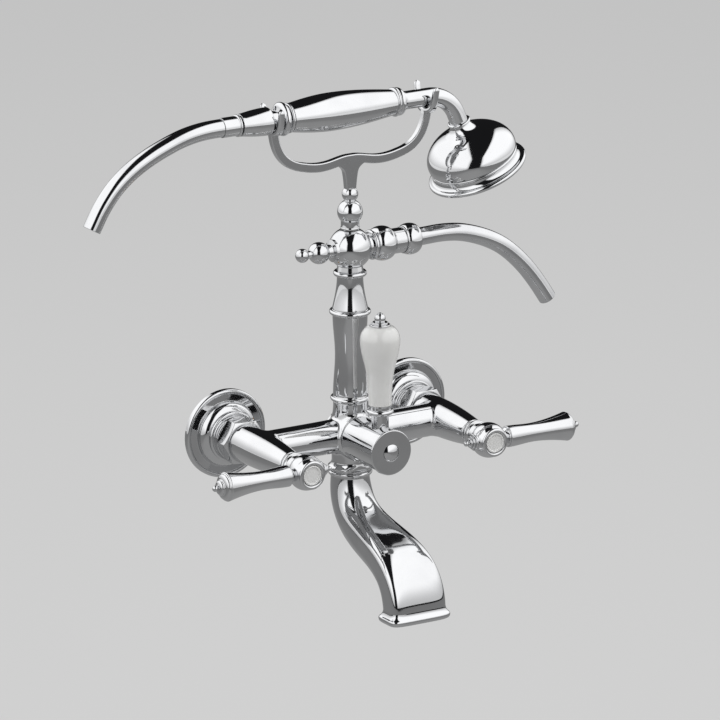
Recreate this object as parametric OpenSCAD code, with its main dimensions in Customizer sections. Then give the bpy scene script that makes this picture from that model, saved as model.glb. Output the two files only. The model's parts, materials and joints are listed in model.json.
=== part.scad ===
// Wall mounted bath faucet with a hand shower on a cradle.
// +X runs to the right, +Y into the wall and +Z up. The origin is midway
// between the two wall inlets, on the face of the wall.

/* [Wall inlets] */
// Distance between the centres of the two wall inlets
inlet_pitch = 150; // [120:1:190]
// Diameter of the thread that screws into the wall
wall_thread_d = 20.96; // [18:0.02:26]
// Length of the thread that screws into the wall
wall_thread_length = 25; // [12:1:40]
// Diameter of the thread that takes the union nut
union_thread_d = 26.4; // [25.5:0.1:26.8]
// Diameter of the waterway through each union
union_bore_d = 14; // [8:0.5:16]
// Diameter of the wall flanges
flange_d = 64.4; // [54:0.2:80]
// How far each wall flange stands off the wall
flange_depth = 17.8; // [14:0.1:24]
// Width of the union nuts across their flats
nut_flats = 30; // [29.8:0.1:36]
// Length of the union nuts
nut_length = 12.1; // [9:0.1:16]
// Turn of the union nuts about their axis
nut_turn = 58; // [0:0.1:60]

/* [Body] */
// Distance from the wall to the axis of the riser
body_reach = 48.4; // [44:0.1:60]
// Diameter of the crossbar between the two valves
crossbar_d = 23.8; // [18:0.1:25]
// Diameter of a valve barrel at its union
barrel_rear_d = 27; // [26:0.1:32]
// Diameter of a valve barrel at its bonnet
barrel_front_d = 19; // [18:0.1:22]
// Distance from the wall to the front of the valve barrels
barrel_reach = 93; // [84:0.5:115]
// Diameter of the boss that holds the diverter
diverter_boss_d = 32.4; // [30:0.1:40]
// Distance from the wall to the front of the diverter boss
boss_reach = 61.8; // [60:0.1:75]

/* [Valves] */
// Diameter of the bore that takes a valve cartridge
cartridge_bore_d = 16.4; // [12:0.1:16.6]
// Length of a valve cartridge
cartridge_length = 20; // [14:0.5:26]
// Diameter of a valve spindle
spindle_d = 7.9; // [5:0.1:8.5]
// Radial running clearance of every shaft that turns
running_gap = 0.05; // [0.02:0.01:0.1]
// Gap between pieces that move past each other
moving_gap = 0.4; // [0.3:0.05:1]

/* [Handles] */
// Diameter of the ball of a valve handle
hub_d = 25.2; // [23:0.1:30]
// Distance from the front of a valve barrel to the centre of the ball
hub_reach = 20; // [18.5:0.1:26]
// Diameter of the index disc in a handle
index_d = 14.4; // [10:0.1:15]
// Distance from the ball's centre to the thick end of a lever
lever_length = 65.4; // [45:0.2:90]
// Diameter of a lever at its thick end
lever_end_d = 20.8; // [15:0.1:26]
// Diameter of a lever at its waist
lever_waist_d = 13.4; // [10:0.1:15]

/* [Diverter] */
// Diameter of the diverter drum
drum_d = 31.4; // [29:0.1:38]
// Distance from the wall to the face of the diverter drum
drum_reach = 104.2; // [98:0.1:120]
// Distance from the drum's face back to the axis of its lever
stem_setback = 15.4; // [12:0.1:20]
// Length of the porcelain grip
grip_length = 57.4; // [40:0.2:80]
// Diameter of the porcelain grip at its widest
grip_d = 28.4; // [22:0.1:32]
// Diameter of the porcelain grip at its foot
grip_foot_d = 16.6; // [14:0.1:20]

/* [Riser] */
// Height of the seat of the riser above the inlets
riser_seat = 24.6; // [20:0.1:30]
// Length of the lower riser
lower_riser_length = 67.4; // [45:0.2:100]
// Length of the upper riser
upper_riser_length = 23.6; // [16:0.2:40]
// Diameter of the waterway in the riser
riser_bore_d = 13; // [8:0.5:14]
// Diameter of the ball at the top of the riser
ball_d = 30.6; // [28:0.1:36]

/* [Cradle] */
// Distance from the cradle's post to each of its forks
fork_x = 62.5; // [50:0.1:80]
// Height from the ball's centre up to the axis of the hand shower
rest_height = 101; // [90:0.5:125]
// Thickness of the cradle's strap
strap_t = 4.8; // [4:0.1:7]
// Width of the cradle's strap
strap_w = 6.4; // [4:0.1:7]
// Width of the fork prongs
prong_w = 6.4; // [4:0.1:7]

/* [Hand shower] */
// Length of the hand shower's grip
shower_grip_length = 84; // [60:1:100]
// Diameter of the hand shower's grip at its widest
shower_grip_d = 27; // [23:0.1:32]
// Diameter of the bent neck
neck_d = 13; // [10:0.1:13.4]
// Radius of the neck's bend
neck_bend_r = 25; // [14:0.5:30]
// Tilt of the shower head from straight down
head_tilt = 23; // [0:1:40]
// Diameter of the rim of the shower head
head_d = 72.4; // [56:0.5:90]
// Height of the shower head from its rim to its neck
head_height = 42.5; // [32:0.5:54]

/* [Hose] */
// Diameter of the shower hose
hose_d = 13; // [10:0.5:13.4]

/* [Spout] */
// Diameter of the spout's round inlet
spout_inlet_d = 29.6; // [24:0.5:34]
// How far the spout's mouth stands in front of the riser's axis
spout_throw = 86.8; // [60:0.2:130]
// How far the spout drops from its nut to the top of its lip
spout_drop = 74.8; // [55:0.5:110]
// Width of the spout's body at the mouth
spout_w = 44.2; // [30:0.2:56]
// Depth of the spout's body at the mouth
spout_depth = 20.4; // [14:0.2:26]
// How far the lip stands out around the mouth
lip_flare = 2.8; // [1:0.1:5]
// Height of the lip
lip_height = 8.7; // [5:0.1:12]
// Wall of the spout
spout_wall = 2; // [1.2:0.1:3]

/* [Hidden] */

// Facets round a turned piece, round a swept strap and round a hose
turn_fn = 96;
strap_fn = 12;
hose_fn = 12;

half_pitch = inlet_pitch / 2;
union_bore_r = union_bore_d / 2;
union_thread_r = union_thread_d / 2;
flange_r = flange_d / 2;
seat_gap = 0.1;

// Stations along a valve's axis, measured forward from the wall
nut_start = flange_depth + 0.3;
nut_end = nut_start + nut_length;
nut_lip = 3.2;
washer_t = 2;
inlet_flange_t = 1.4;
inlet_seat = nut_end - nut_lip - inlet_flange_t - 0.1;
union_end = inlet_seat - washer_t;
neck_r = 10.9;
barrel_start = nut_end + 0.3;
crossbar_r = crossbar_d / 2;
barrel_rear_r = barrel_rear_d / 2;
barrel_front_r = barrel_front_d / 2;
barrel_taper_start = 40;
cartridge_bore_r = cartridge_bore_d / 2;
bonnet_thread = 12;
cartridge_front = barrel_reach - bonnet_thread;
cartridge_rear = cartridge_front - cartridge_length;
bonnet_collar = 5.2;
bonnet_front = barrel_reach + bonnet_collar;
spindle_r = spindle_d / 2;

// Stations of a handle, measured forward from the wall, then out from the ball
hub_r = hub_d / 2;
hub_centre = barrel_reach + hub_reach;
hub_rear = bonnet_front + moving_gap;
hub_neck_r = 8.6;
hub_face_r = 10.5;
hub_face = hub_centre + sqrt(hub_r * hub_r - hub_face_r * hub_face_r);
bezel_h = 2.5;
hub_front = hub_face + bezel_h;
index_r = index_d / 2;
spindle_end = hub_centre - 7;
screw_seat = spindle_end + 2.6;
screw_head_r = 3.8;
screw_head_h = 3;
screw_r = 1.9;
stud_r = 3;
stud_start = 5.6;
lever_neck_r = 4.6;
lever_seat = hub_r - 1;
lever_base = lever_seat + 3.2;
lever_base_r = 7.6;
finial_seat = hub_r - 1.4;
finial_base_r = 6;

// The diverter
axis_y = -body_reach;
boss_r = diverter_boss_d / 2;
drum_r = drum_d / 2;
drum_rear = boss_reach + moving_gap;
drum_wall = 3.2;
drum_face_t = 5;
drum_rim = 0.7;
diverter_bore_r = 9.2;
body_neck_r = boss_reach - body_reach - 0.3;
crossbar_flare_r = body_neck_r - 0.6;
socket_r = spout_inlet_d / 2 + 1;
diverter_cartridge_rear = body_reach - 7;
diverter_bonnet_r = drum_r - drum_wall - 0.8;
diverter_bonnet_front = boss_reach + 12;
diverter_spindle_end = drum_reach - drum_face_t - 5;
drum_boss_r = 6.6;
stem_y = -(drum_reach - stem_setback);
stem_r = 6.2;
stem_foot_r = stem_r + 0.2;
stem_seat = sqrt(drum_r * drum_r - stem_foot_r * stem_foot_r) - 0.1;
stem_length = 17.4;
grip_foot = stem_seat + stem_length;
grip_top = grip_foot + grip_length;
grip_foot_r = grip_foot_d / 2;
grip_r = grip_d / 2;
grip_bore_r = 2.6;
tie_rod_r = 2;
button_r = 6;

// The riser and the ball on it
riser_bore_r = riser_bore_d / 2;
lower_riser_top = riser_seat + lower_riser_length;
upper_riser_top = lower_riser_top + upper_riser_length;
ball_r = ball_d / 2;
ball_z = upper_riser_top + 20.2;
ball_flat_r = 6.9;
ball_top = ball_z + sqrt(ball_r * ball_r - ball_flat_r * ball_flat_r);
side_face_r = 8;
side_face = sqrt(ball_r * ball_r - side_face_r * side_face_r);
outlet_bore_r = 4.5;
pin_r = 3;
pin_bottom = ball_top - 7;
pin_top = ball_top + 8;

// The outlet to the hose, measured out from the riser's axis
nipple_ring = side_face + 2.6;
nipple_bulge = side_face + 6.6;
nipple_sleeve = nipple_bulge + 14.5;
hose_nut_start = nipple_sleeve + 8.4;
hose_nut_length = 12.2;
hose_nut_end = hose_nut_start + hose_nut_length;
nipple_end = hose_nut_start + 6;
hose_r = hose_d / 2;
hose_wall = 1.8;
hose_bore_r = hose_r - hose_wall;

// The cradle
post_bottom = ball_top + moving_gap;
post_ball_r = 9.05;
post_ball_z = post_bottom + 12.4;
post_top_ball_r = 5.8;
post_top_ball_z = post_ball_z + 12.9;
post_top = post_top_ball_z + 4.2;
rest_z = ball_z + rest_height;
neck_tube_r = neck_d / 2;
saddle_gap = 0.4;
saddle_z = rest_z - neck_tube_r - saddle_gap;
saddle_t = 4.4;
strap_low = rest_z - 38.4;

// The hand shower, measured along X
bead_start = -(fork_x - prong_w / 2 - moving_gap);
collar_end = bead_start + 9.4;
cone_end = -(fork_x + prong_w / 2 + moving_gap);
cone_length = 23.6;
cone_start = cone_end - cone_length;
ferrule_start = cone_start - 14.6;
grip_start = collar_end;
grip_end = grip_start + shower_grip_length;
grip_start_r = 10.2;
grip_end_r = 9.1;
front_collar_end = grip_end + 9;
shower_bore_r = 4.2;
bend_start = max(grip_end + 29.7, fork_x + prong_w / 2 - 1.5);
bend_turn = 90 - head_tilt;
neck_drop = [neck_bend_r * sin(bend_turn), neck_bend_r * (cos(bend_turn) - 1)];
bend_end_x = bend_start + neck_drop[0];
bend_end_z = rest_z + neck_drop[1];
neck_tail = 5.9;
bend_inset = 0.02;
head_r = head_d / 2;
head_x = bend_end_x + (head_height + neck_tail) * sin(head_tilt);
head_z = bend_end_z - (head_height + neck_tail) * cos(head_tilt);
bell_wall = 1.6;
plate_r = head_r - 5.6;
nozzle_r = 1.1;

// The spout
socket_bottom = -24.6;
spout_nut_h = 5.6;
spout_top = socket_bottom - spout_nut_h;
spout_inlet_r = spout_inlet_d / 2;
mouth_y = axis_y - spout_throw;
lip_top = spout_top - spout_drop;
mouth_z = lip_top - lip_height;
screen_t = 3;
screen_setback = 2.4;
spout_stations = 18;
ring_points = 40;

// Routes of the hose beyond its fittings, as x and z
outlet_route = [
    [52, 135.8], [62, 136.2], [75, 136.4], [88, 135.2], [100, 132.2], [113, 127.2],
    [125, 120.6], [136, 111.8], [146.5, 101], [156, 88.8], [165, 75.5]
];
shower_route = [
    [-99, 236.8], [-115, 236.6], [-127, 235.3], [-138, 232.8], [-149.5, 228.8], [-161, 224],
    [-173, 217.6], [-183, 210.5], [-191.5, 202.5], [-200, 191.5], [-207.6, 178.2]
];

CHROME = "silver";
BRASS = "goldenrod";
STEEL = "lightsteelblue";
PORCELAIN = "white";
RUBBER = [0.15, 0.15, 0.16];
PLASTIC = [0.88, 0.88, 0.86];

// ---------------------------------------------------------------- outlines

// Points along an arc, as [radius, height]
function arc(centre, r, from, to, steps = 8) = [
    for (i = [0:steps])
        let (a = from + (to - from) * i / steps)
        [centre[0] + r * cos(a), centre[1] + r * sin(a)]
];

// Points along an elliptical arc
function oval_arc(centre, rx, ry, from, to, steps = 10) = [
    for (i = [0:steps])
        let (a = from + (to - from) * i / steps)
        [centre[0] + rx * cos(a), centre[1] + ry * sin(a)]
];

// Half of a cosine wave, from 0 at t = 0 to 1 at t = 1
function ease(t) = (1 - cos(180 * t)) / 2;

// Angle from a ball's equator to the height where it is as wide as a neck
function ball_angle(r, neck) = acos(neck / r);

module turned(points) rotate_extrude($fn = turn_fn) polygon(points);

// A tube that is turned between two heights
module ring(outer, inner, from, to) {
    difference() {
        translate([0, 0, from]) cylinder(r = outer, h = to - from, $fn = turn_fn);
        translate([0, 0, from - 1]) cylinder(r = inner, h = to - from + 2, $fn = turn_fn);
    }
}

module rod(r, from, to) translate([0, 0, from]) cylinder(r = r, h = to - from, $fn = turn_fn);

// Frames: heights run forward from the wall, out along X, or up the riser
module forward() rotate([90, 0, 0]) children();
module outward() rotate([0, 90, 0]) children();
module inward() rotate([0, -90, 0]) children();
module valve(side) translate([side * half_pitch, 0, 0]) mirror([side < 0 ? 1 : 0, 0, 0]) children();
module on_riser() translate([0, axis_y, 0]) children();
module at_hub() translate([0, -hub_centre, 0]) children();
module along_shower() translate([0, axis_y, rest_z]) outward() children();
module at_head() translate([head_x, axis_y, head_z]) rotate([0, -head_tilt, 0]) children();

// ------------------------------------------------------------------ sweeps

// A solid through closed rings that all have the same number of points,
// each running clockwise when seen from the ring before it
module skin(rings) {
    n = len(rings[0]);
    last = len(rings) - 1;
    points = [for (r = rings) each r];
    sides = [
        for (k = [0:last - 1], i = [0:n - 1])
            let (j = (i + 1) % n)
            each [[k * n + i, (k + 1) * n + j, (k + 1) * n + i], [k * n + i, k * n + j, (k + 1) * n + j]]
    ];
    foot = [[for (i = [n - 1:-1:0]) i]];
    head = [[for (i = [0:n - 1]) last * n + i]];
    polyhedron(points = points, faces = concat(foot, sides, head), convexity = 10);
}

// Direction of a route of 3-D points at point k
function heading(route, k) =
    let (d = route[min(k + 1, len(route) - 1)] - route[max(k - 1, 0)])
    d / norm(d);

// Rings across a route, with half sizes across and along the side direction
function route_rings(route, side, across, along, n) = [
    for (k = [0:len(route) - 1])
        let (t = heading(route, k), up = cross(t, side))
        [for (i = [0:n - 1])
            let (a = 360 * (i + 0.5) / n)
            route[k] + up * across[k] * cos(a) + side * along[k] * sin(a)]
];

// Points of a cubic curve between two ends with two handles
function curve(a, b, c, d, steps) = [
    for (i = [0:steps])
        let (t = i / steps, s = 1 - t)
        a * s * s * s + 3 * b * s * s * t + 3 * c * s * t * t + d * t * t * t
];

// ------------------------------------------------------------------ inlets

// Threaded union that joins the pipe in the wall to the faucet
module union_piece() {
    forward() difference() {
        turned([
            [0, -wall_thread_length], [wall_thread_d / 2, -wall_thread_length], [wall_thread_d / 2, 0],
            [12, 0], [12, 10], [union_thread_r, 10], [union_thread_r, union_end], [0, union_end]
        ]);
        rod(union_bore_r, -wall_thread_length - 1, union_end + 1);
    }
}

// Stepped flange that covers the hole in the wall
module flange_piece() {
    r = flange_r;
    d = flange_depth;
    bore = union_thread_r + 0.3;
    outer = concat(
        [[r, 0]],
        arc([r - 1.9, 2.1], 1.9, 0, 110),
        [[r - 3.4, 3], [r - 8.4, 3.3], [r - 8.7, 4.2]],
        oval_arc([r - 16.4, 4.2], 7.5, d - 11.2, 0, 72),
        [[bore + 4.1, d - 7.4]],
        arc([bore + 3.4, d - 6], 1.3, -60, 120),
        [[bore + 2.4, d - 4.4], [bore + 2.4, d - 0.4], [bore + 2, d], [bore, d]]
    );
    inner = [[bore, d - 4.6], [r - 13, 5.4], [r - 6, 1.8], [r - 2, 1.4], [r - 2, 0]];
    forward() turned(concat(outer, inner));
}

// Hexagon nut with its corners turned off, over the union's thread
module nut_piece(side) {
    circle_r = nut_flats / 2 / cos(30);
    chamfer = 1.1;
    forward() rotate([0, 0, side * nut_turn]) difference() {
        intersection() {
            translate([0, 0, nut_start]) cylinder(r = circle_r, h = nut_length, $fn = 6);
            turned([
                [0, nut_start], [nut_flats / 2 - 0.3, nut_start], [circle_r + 0.2, nut_start + chamfer],
                [circle_r + 0.2, nut_end - chamfer], [nut_flats / 2 - 0.3, nut_end], [0, nut_end]
            ]);
        }
        rod(union_thread_r + seat_gap, nut_start - 1, nut_end - nut_lip);
        rod(neck_r + seat_gap, nut_start - 1, nut_end + 1);
    }
}

module left_union() color(BRASS) valve(-1) union_piece();
module right_union() color(BRASS) valve(1) union_piece();
module left_flange() color(CHROME) valve(-1) flange_piece();
module right_flange() color(CHROME) valve(1) flange_piece();
module left_union_nut() color(CHROME) valve(-1) nut_piece(-1);
module right_union_nut() color(CHROME) valve(1) nut_piece(1);
module inlet_washers() {
    color(RUBBER) for (side = [-1, 1]) valve(side) forward()
        ring(union_thread_r - 0.6, union_bore_r, union_end, inlet_seat);
}

// -------------------------------------------------------------- valve body

// Outline of a valve barrel, from the union to the bonnet
function barrel_outline() = concat(
    [[0, barrel_start], [barrel_rear_r - 0.8, barrel_start], [barrel_rear_r - 0.1, barrel_start + 0.8]],
    [for (i = [0:12])
        let (t = i / 12, at = barrel_taper_start + t * (barrel_reach - 1 - barrel_taper_start))
        [barrel_rear_r - (barrel_rear_r - barrel_front_r) * t * t, at]],
    [[barrel_front_r - 0.8, barrel_reach], [0, barrel_reach]]
);

// One valve's share of the casting: inlet neck, barrel and half the crossbar
module body_arm(side) {
    valve(side) forward() {
        rod(union_thread_r - 0.5, inlet_seat, inlet_seat + inlet_flange_t);
        rod(neck_r, inlet_seat, barrel_start + 1);
        turned(barrel_outline());
    }
    translate([0, axis_y, 0]) mirror([side < 0 ? 1 : 0, 0, 0]) outward() turned(concat(
        [[0, 0], [crossbar_flare_r, 0]],
        [for (i = [0:8])
            let (t = i / 8)
            [crossbar_r + (crossbar_flare_r - crossbar_r) * (1 - t) * (1 - t), 12 + 26 * t]],
        [[crossbar_r, half_pitch], [0, half_pitch]]
    ));
}

module body_bores(side) {
    valve(side) forward() {
        rod(union_bore_r, inlet_seat - 1, cartridge_rear);
        rod(cartridge_bore_r, cartridge_rear - seat_gap, barrel_reach + 1);
    }
}

module valve_body() {
    color(CHROME) difference() {
        union() {
            for (side = [-1, 1]) body_arm(side);
            forward() turned([
                [0, body_reach - 12], [boss_r - 3, body_reach - 12], [boss_r, body_reach - 8],
                [boss_r, boss_reach - 0.6], [boss_r - 0.6, boss_reach], [0, boss_reach]
            ]);
            on_riser() turned(concat(
                [[0, socket_bottom], [socket_r, socket_bottom], [socket_r, socket_bottom + 1.4]],
                oval_arc([socket_r, socket_bottom + 6.4], socket_r - body_neck_r, 5, 270, 180, 6),
                oval_arc([body_neck_r, riser_seat - 3], 1.1, 5, 270, 180, 6),
                [[body_neck_r - 1.1, riser_seat], [0, riser_seat]]
            ));
        }
        for (side = [-1, 1]) body_bores(side);
        translate([-half_pitch, axis_y, 0]) outward() rod(6, 0, inlet_pitch);
        forward() rod(diverter_bore_r, diverter_cartridge_rear, boss_reach + 1);
        on_riser() rod(riser_bore_r - 1, 0, riser_seat + 1);
        on_riser() rod(riser_bore_r, riser_seat - 8, riser_seat + 1);
        on_riser() rod(9.6, socket_bottom - 1, 0);
    }
}

// A ceramic-disc cartridge inside its barrel
module cartridge_piece() {
    forward() difference() {
        rod(cartridge_bore_r - seat_gap, cartridge_rear, cartridge_front);
        rod(spindle_r + running_gap, cartridge_rear + 8, cartridge_front + 1);
        translate([3.4, 0, cartridge_rear - 1]) cylinder(r = 1.8, h = 6, $fn = 32);
        translate([-3.4, 0, cartridge_rear - 1]) cylinder(r = 1.8, h = 6, $fn = 32);
    }
}

// The threaded collar that holds the cartridge in and carries the spindle
module bonnet_piece() {
    r = barrel_front_r;
    forward() difference() {
        turned(concat(
            [[0, cartridge_front], [cartridge_bore_r - seat_gap, cartridge_front],
                [cartridge_bore_r - seat_gap, barrel_reach], [r - 1.1, barrel_reach],
                [r - 1.1, barrel_reach + 1.6]],
            arc([r - 0.6, barrel_reach + 2.8], 1.1, -90, 90, 6),
            [[r - 1.2, bonnet_front - 0.6], [r - 1.8, bonnet_front], [0, bonnet_front]]
        ));
        rod(spindle_r + running_gap, cartridge_front - 1, bonnet_front + 1);
    }
}

module left_cartridge() color(PLASTIC) valve(-1) cartridge_piece();
module right_cartridge() color(PLASTIC) valve(1) cartridge_piece();
module left_bonnet() color(CHROME) valve(-1) bonnet_piece();
module right_bonnet() color(CHROME) valve(1) bonnet_piece();

// ----------------------------------------------------------------- handles

module spindle_piece() {
    forward() difference() {
        rod(spindle_r, cartridge_rear + 9, spindle_end);
        rod(screw_r + seat_gap, spindle_end - 9, spindle_end + 1);
    }
}

// The ball of a handle, hollow for its screw and faced off for its index disc
module hub_piece() {
    from = -ball_angle(hub_r, hub_neck_r);
    to = ball_angle(hub_r, hub_face_r);
    outline = concat(
        [[0, hub_rear], [hub_neck_r - 0.5, hub_rear], [hub_neck_r, hub_rear + 0.5]],
        arc([0, hub_centre], hub_r, from, to, 18),
        [[hub_face_r, hub_face + 0.8]],
        arc([index_r + 1.7, hub_front - 1.5], 1.5, 10, 170, 10),
        [[index_r + 0.1, hub_front - 2], [0, hub_front - 2]]
    );
    difference() {
        forward() turned(outline);
        forward() rod(index_r + 0.1, hub_centre + 4.4, hub_front + 1);
        forward() rod(screw_head_r + 0.4, screw_seat, hub_front);
        forward() rod(spindle_r + seat_gap, hub_rear - 1, spindle_end);
        forward() rod(screw_r + 0.15, hub_rear, hub_front);
        at_hub() outward() rod(stud_r + seat_gap, stud_start - 0.2, hub_r + 1);
        at_hub() outward() rod(lever_neck_r + 0.4, lever_seat, hub_r + 1);
        at_hub() inward() rod(stud_r - 0.5 + seat_gap, stud_start - 0.2, hub_r + 1);
        at_hub() inward() rod(finial_base_r + 0.1, finial_seat, hub_r + 1);
    }
}

// Lever: a stud, a small cone, then a long waisted grip that flares at its end
module lever_piece() {
    waist_r = lever_waist_d / 2;
    end_r = lever_end_d / 2;
    run = lever_length - lever_base - 2;
    dip = 0.4;
    at_hub() outward() turned(concat(
        [[0, stud_start], [stud_r, stud_start], [stud_r, lever_seat], [lever_neck_r, lever_seat],
            [lever_neck_r + 0.4, lever_seat + 0.9], [lever_base_r - 0.9, lever_base - 0.7],
            [lever_base_r - 0.9, lever_base]],
        arc([lever_base_r - 0.7, lever_base + 0.7], 0.7, -90, 0, 4),
        [for (i = [1:16])
            let (t = i / 16)
            [t < dip ? lever_base_r - (lever_base_r - waist_r) * ease(t / dip)
                : waist_r + (end_r - waist_r) * pow((t - dip) / (1 - dip), 1.8),
                lever_base + 1.4 + (run - 0.6) * t]],
        arc([end_r - 0.9, lever_length - 1], 0.9, 0, 90, 5),
        [[end_r - 1.4, lever_length - 0.6], [0, lever_length - 0.6]]
    ));
}

// Stepped cap at the end of a lever
module lever_tip_piece() {
    r = lever_end_d / 2 - 1.5;
    at_hub() outward() translate([0, 0, lever_length - 0.6]) turned(concat(
        [[0, 0], [r, 0], [r, 0.6], [r - 0.5, 1]],
        oval_arc([r - 3.8, 0.8], 3.2, 2.2, 0, 80, 6),
        [[r - 3.3, 3.4], [r - 3.5, 4]],
        oval_arc([r - 6.1, 4], 2.4, 1.9, 0, 80, 6),
        [[r - 6.1, 6.6]],
        arc([0, 8.2], 2.2, -40, 90, 8)
    ));
}

// Stepped finial on the side of the ball that faces the body
module hub_finial_piece() {
    r = finial_base_r;
    at_hub() inward() turned(concat(
        [[0, stud_start], [stud_r - 0.5, stud_start], [stud_r - 0.5, finial_seat], [r, finial_seat]],
        arc([r - 0.8, finial_seat + 1.2], 0.8, -60, 90, 6),
        arc([r - 2.1, finial_seat + 2.8], 0.8, -60, 90, 6),
        arc([r - 3.3, finial_seat + 4.4], 0.8, -60, 90, 6),
        [[1.4, finial_seat + 5.8]],
        arc([0, finial_seat + 7.4], 1.9, -45, 90, 8)
    ));
}

module screw_piece() {
    forward() difference() {
        union() {
            rod(screw_r, spindle_end - 8, screw_seat);
            turned([
                [0, screw_seat], [screw_head_r, screw_seat],
                [screw_head_r, screw_seat + screw_head_h - 0.8],
                [screw_head_r - 0.8, screw_seat + screw_head_h], [0, screw_seat + screw_head_h]
            ]);
        }
        translate([0, 0, screw_seat + screw_head_h - 1.6]) cylinder(r = 1.7, h = 3, $fn = 6);
    }
}

// Index disc with a raised round rim
module index_piece() {
    forward() turned(concat(
        [[0, hub_centre + 4.6], [index_r, hub_centre + 4.6], [index_r, hub_front - 0.9]],
        arc([index_r - 0.7, hub_front - 0.9], 0.7, 0, 160, 6),
        [[index_r - 1.6, hub_front - 1], [0, hub_front - 0.8]]
    ));
}

module left_spindle() color(BRASS) valve(-1) spindle_piece();
module right_spindle() color(BRASS) valve(1) spindle_piece();
module left_hub() color(CHROME) valve(-1) hub_piece();
module right_hub() color(CHROME) valve(1) hub_piece();
module left_lever() color(CHROME) valve(-1) lever_piece();
module right_lever() color(CHROME) valve(1) lever_piece();
module left_lever_tip() color(CHROME) valve(-1) lever_tip_piece();
module right_lever_tip() color(CHROME) valve(1) lever_tip_piece();
module left_hub_finial() color(CHROME) valve(-1) hub_finial_piece();
module right_hub_finial() color(CHROME) valve(1) hub_finial_piece();
module left_screw() color(STEEL) valve(-1) screw_piece();
module right_screw() color(STEEL) valve(1) screw_piece();
module left_index() color(PORCELAIN) valve(-1) index_piece();
module right_index() color(PORCELAIN) valve(1) index_piece();

// ---------------------------------------------------------------- diverter

module diverter_cartridge() {
    color(PLASTIC) forward() difference() {
        rod(diverter_bore_r - seat_gap, diverter_cartridge_rear, boss_reach - 1);
        rod(spindle_r + running_gap, diverter_cartridge_rear + 9, boss_reach + 1);
        translate([0, 4.6, diverter_cartridge_rear - 1]) cylinder(r = 2.4, h = 7, $fn = 32);
        translate([0, -4.6, diverter_cartridge_rear - 1]) cylinder(r = 2.4, h = 7, $fn = 32);
    }
}

module diverter_bonnet() {
    color(BRASS) forward() difference() {
        turned([
            [0, boss_reach - 1], [diverter_bore_r - seat_gap, boss_reach - 1],
            [diverter_bore_r - seat_gap, boss_reach + 0.6], [diverter_bonnet_r, boss_reach + 0.6],
            [diverter_bonnet_r, boss_reach + 6], [spindle_r + 3, boss_reach + 7],
            [spindle_r + 3, diverter_bonnet_front], [0, diverter_bonnet_front]
        ]);
        rod(spindle_r + running_gap, boss_reach - 2, diverter_bonnet_front + 1);
    }
}

module diverter_spindle() {
    color(BRASS) forward() difference() {
        rod(spindle_r, diverter_cartridge_rear + 10, diverter_spindle_end);
        rod(screw_r + seat_gap, diverter_spindle_end - 9, diverter_spindle_end + 1);
    }
}

// Hollow drum that turns over the diverter's bonnet
module diverter_drum() {
    outline = concat(
        [[0, drum_rear], [drum_r - 0.6, drum_rear], [drum_r, drum_rear + 0.6],
            [drum_r, drum_reach - 2.6], [drum_r - 0.4, drum_reach - 2.2],
            [drum_r + drum_rim, drum_reach - 1.7], [drum_r + drum_rim, drum_reach - 0.8]],
        arc([drum_r + drum_rim - 0.8, drum_reach - 0.8], 0.8, 0, 90, 5),
        [[0, drum_reach]]
    );
    color(CHROME) difference() {
        forward() turned(outline);
        forward() difference() {
            rod(drum_r - drum_wall, drum_rear - 1, drum_reach - drum_face_t);
            rod(drum_boss_r, diverter_bonnet_front + 2, drum_reach);
        }
        forward() rod(spindle_r + seat_gap, drum_rear, diverter_spindle_end);
        forward() rod(screw_r + 0.15, drum_rear, drum_reach + 1);
        forward() rod(button_r + seat_gap, diverter_spindle_end + 3, drum_reach + 1);
        translate([0, stem_y, 0]) rod(stem_r + 0.1, stem_seat, drum_r + 1);
        translate([0, stem_y, 0]) rod(stud_r + seat_gap, drum_boss_r, drum_r + 1);
    }
}

module diverter_screw() {
    color(STEEL) forward() difference() {
        union() {
            rod(screw_r, diverter_spindle_end - 8, diverter_spindle_end + 3);
            rod(screw_head_r, diverter_spindle_end + 3, diverter_spindle_end + 5.4);
        }
        translate([0, 0, diverter_spindle_end + 3.8]) cylinder(r = 1.7, h = 3, $fn = 6);
    }
}

// Domed button that covers the drum's screw
module diverter_button() {
    rise = 2.2;
    dome_r = (button_r * button_r + rise * rise) / (2 * rise);
    half_angle = asin(button_r / dome_r);
    color(CHROME) forward() turned(concat(
        [[0, diverter_spindle_end + 5.6], [button_r, diverter_spindle_end + 5.6]],
        arc([0, drum_reach + rise - dome_r], dome_r, 90 - half_angle, 90, 8)
    ));
}

module diverter_stem() {
    r = grip_foot_r;
    z = grip_foot;
    color(CHROME) translate([0, stem_y, 0]) difference() {
        turned(concat(
            [[0, drum_boss_r + 0.6], [stud_r, drum_boss_r + 0.6], [stud_r, stem_seat], [stem_r, stem_seat],
                [stem_r, z - 7.2], [stem_r + 0.9, z - 6.6]],
            arc([r - 0.4, z - 4.8], 1.8, -110, 80, 10),
            [[r - 0.5, z - 2.6], [r - 0.5, z - 0.8], [r - 0.1, z - 0.4], [r - 0.1, z], [0, z]]
        ));
        rod(tie_rod_r + seat_gap, z - 10, z + 1);
    }
}

// Outline of the porcelain grip: a long swelling body with a round shoulder
function grip_outline() = concat(
    [[grip_bore_r, grip_foot + 0.1], [grip_foot_r - 0.6, grip_foot + 0.1],
        [grip_foot_r, grip_foot + 0.8]],
    [for (i = [1:16])
        let (t = i / 16)
        [grip_foot_r + (grip_r - grip_foot_r) * ease(pow(t, 1.5)),
            grip_foot + 0.8 + (grip_length * 0.82 - 0.8) * t]],
    [for (i = [1:12])
        let (a = 76 * i / 12)
        [grip_r - (grip_r - 5.5) * (1 - cos(a)), grip_foot + grip_length * (0.82 + 0.185 * sin(a))]],
    [[grip_bore_r, grip_top]]
);

module diverter_grip() color(PORCELAIN) translate([0, stem_y, 0]) turned(grip_outline());

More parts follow.
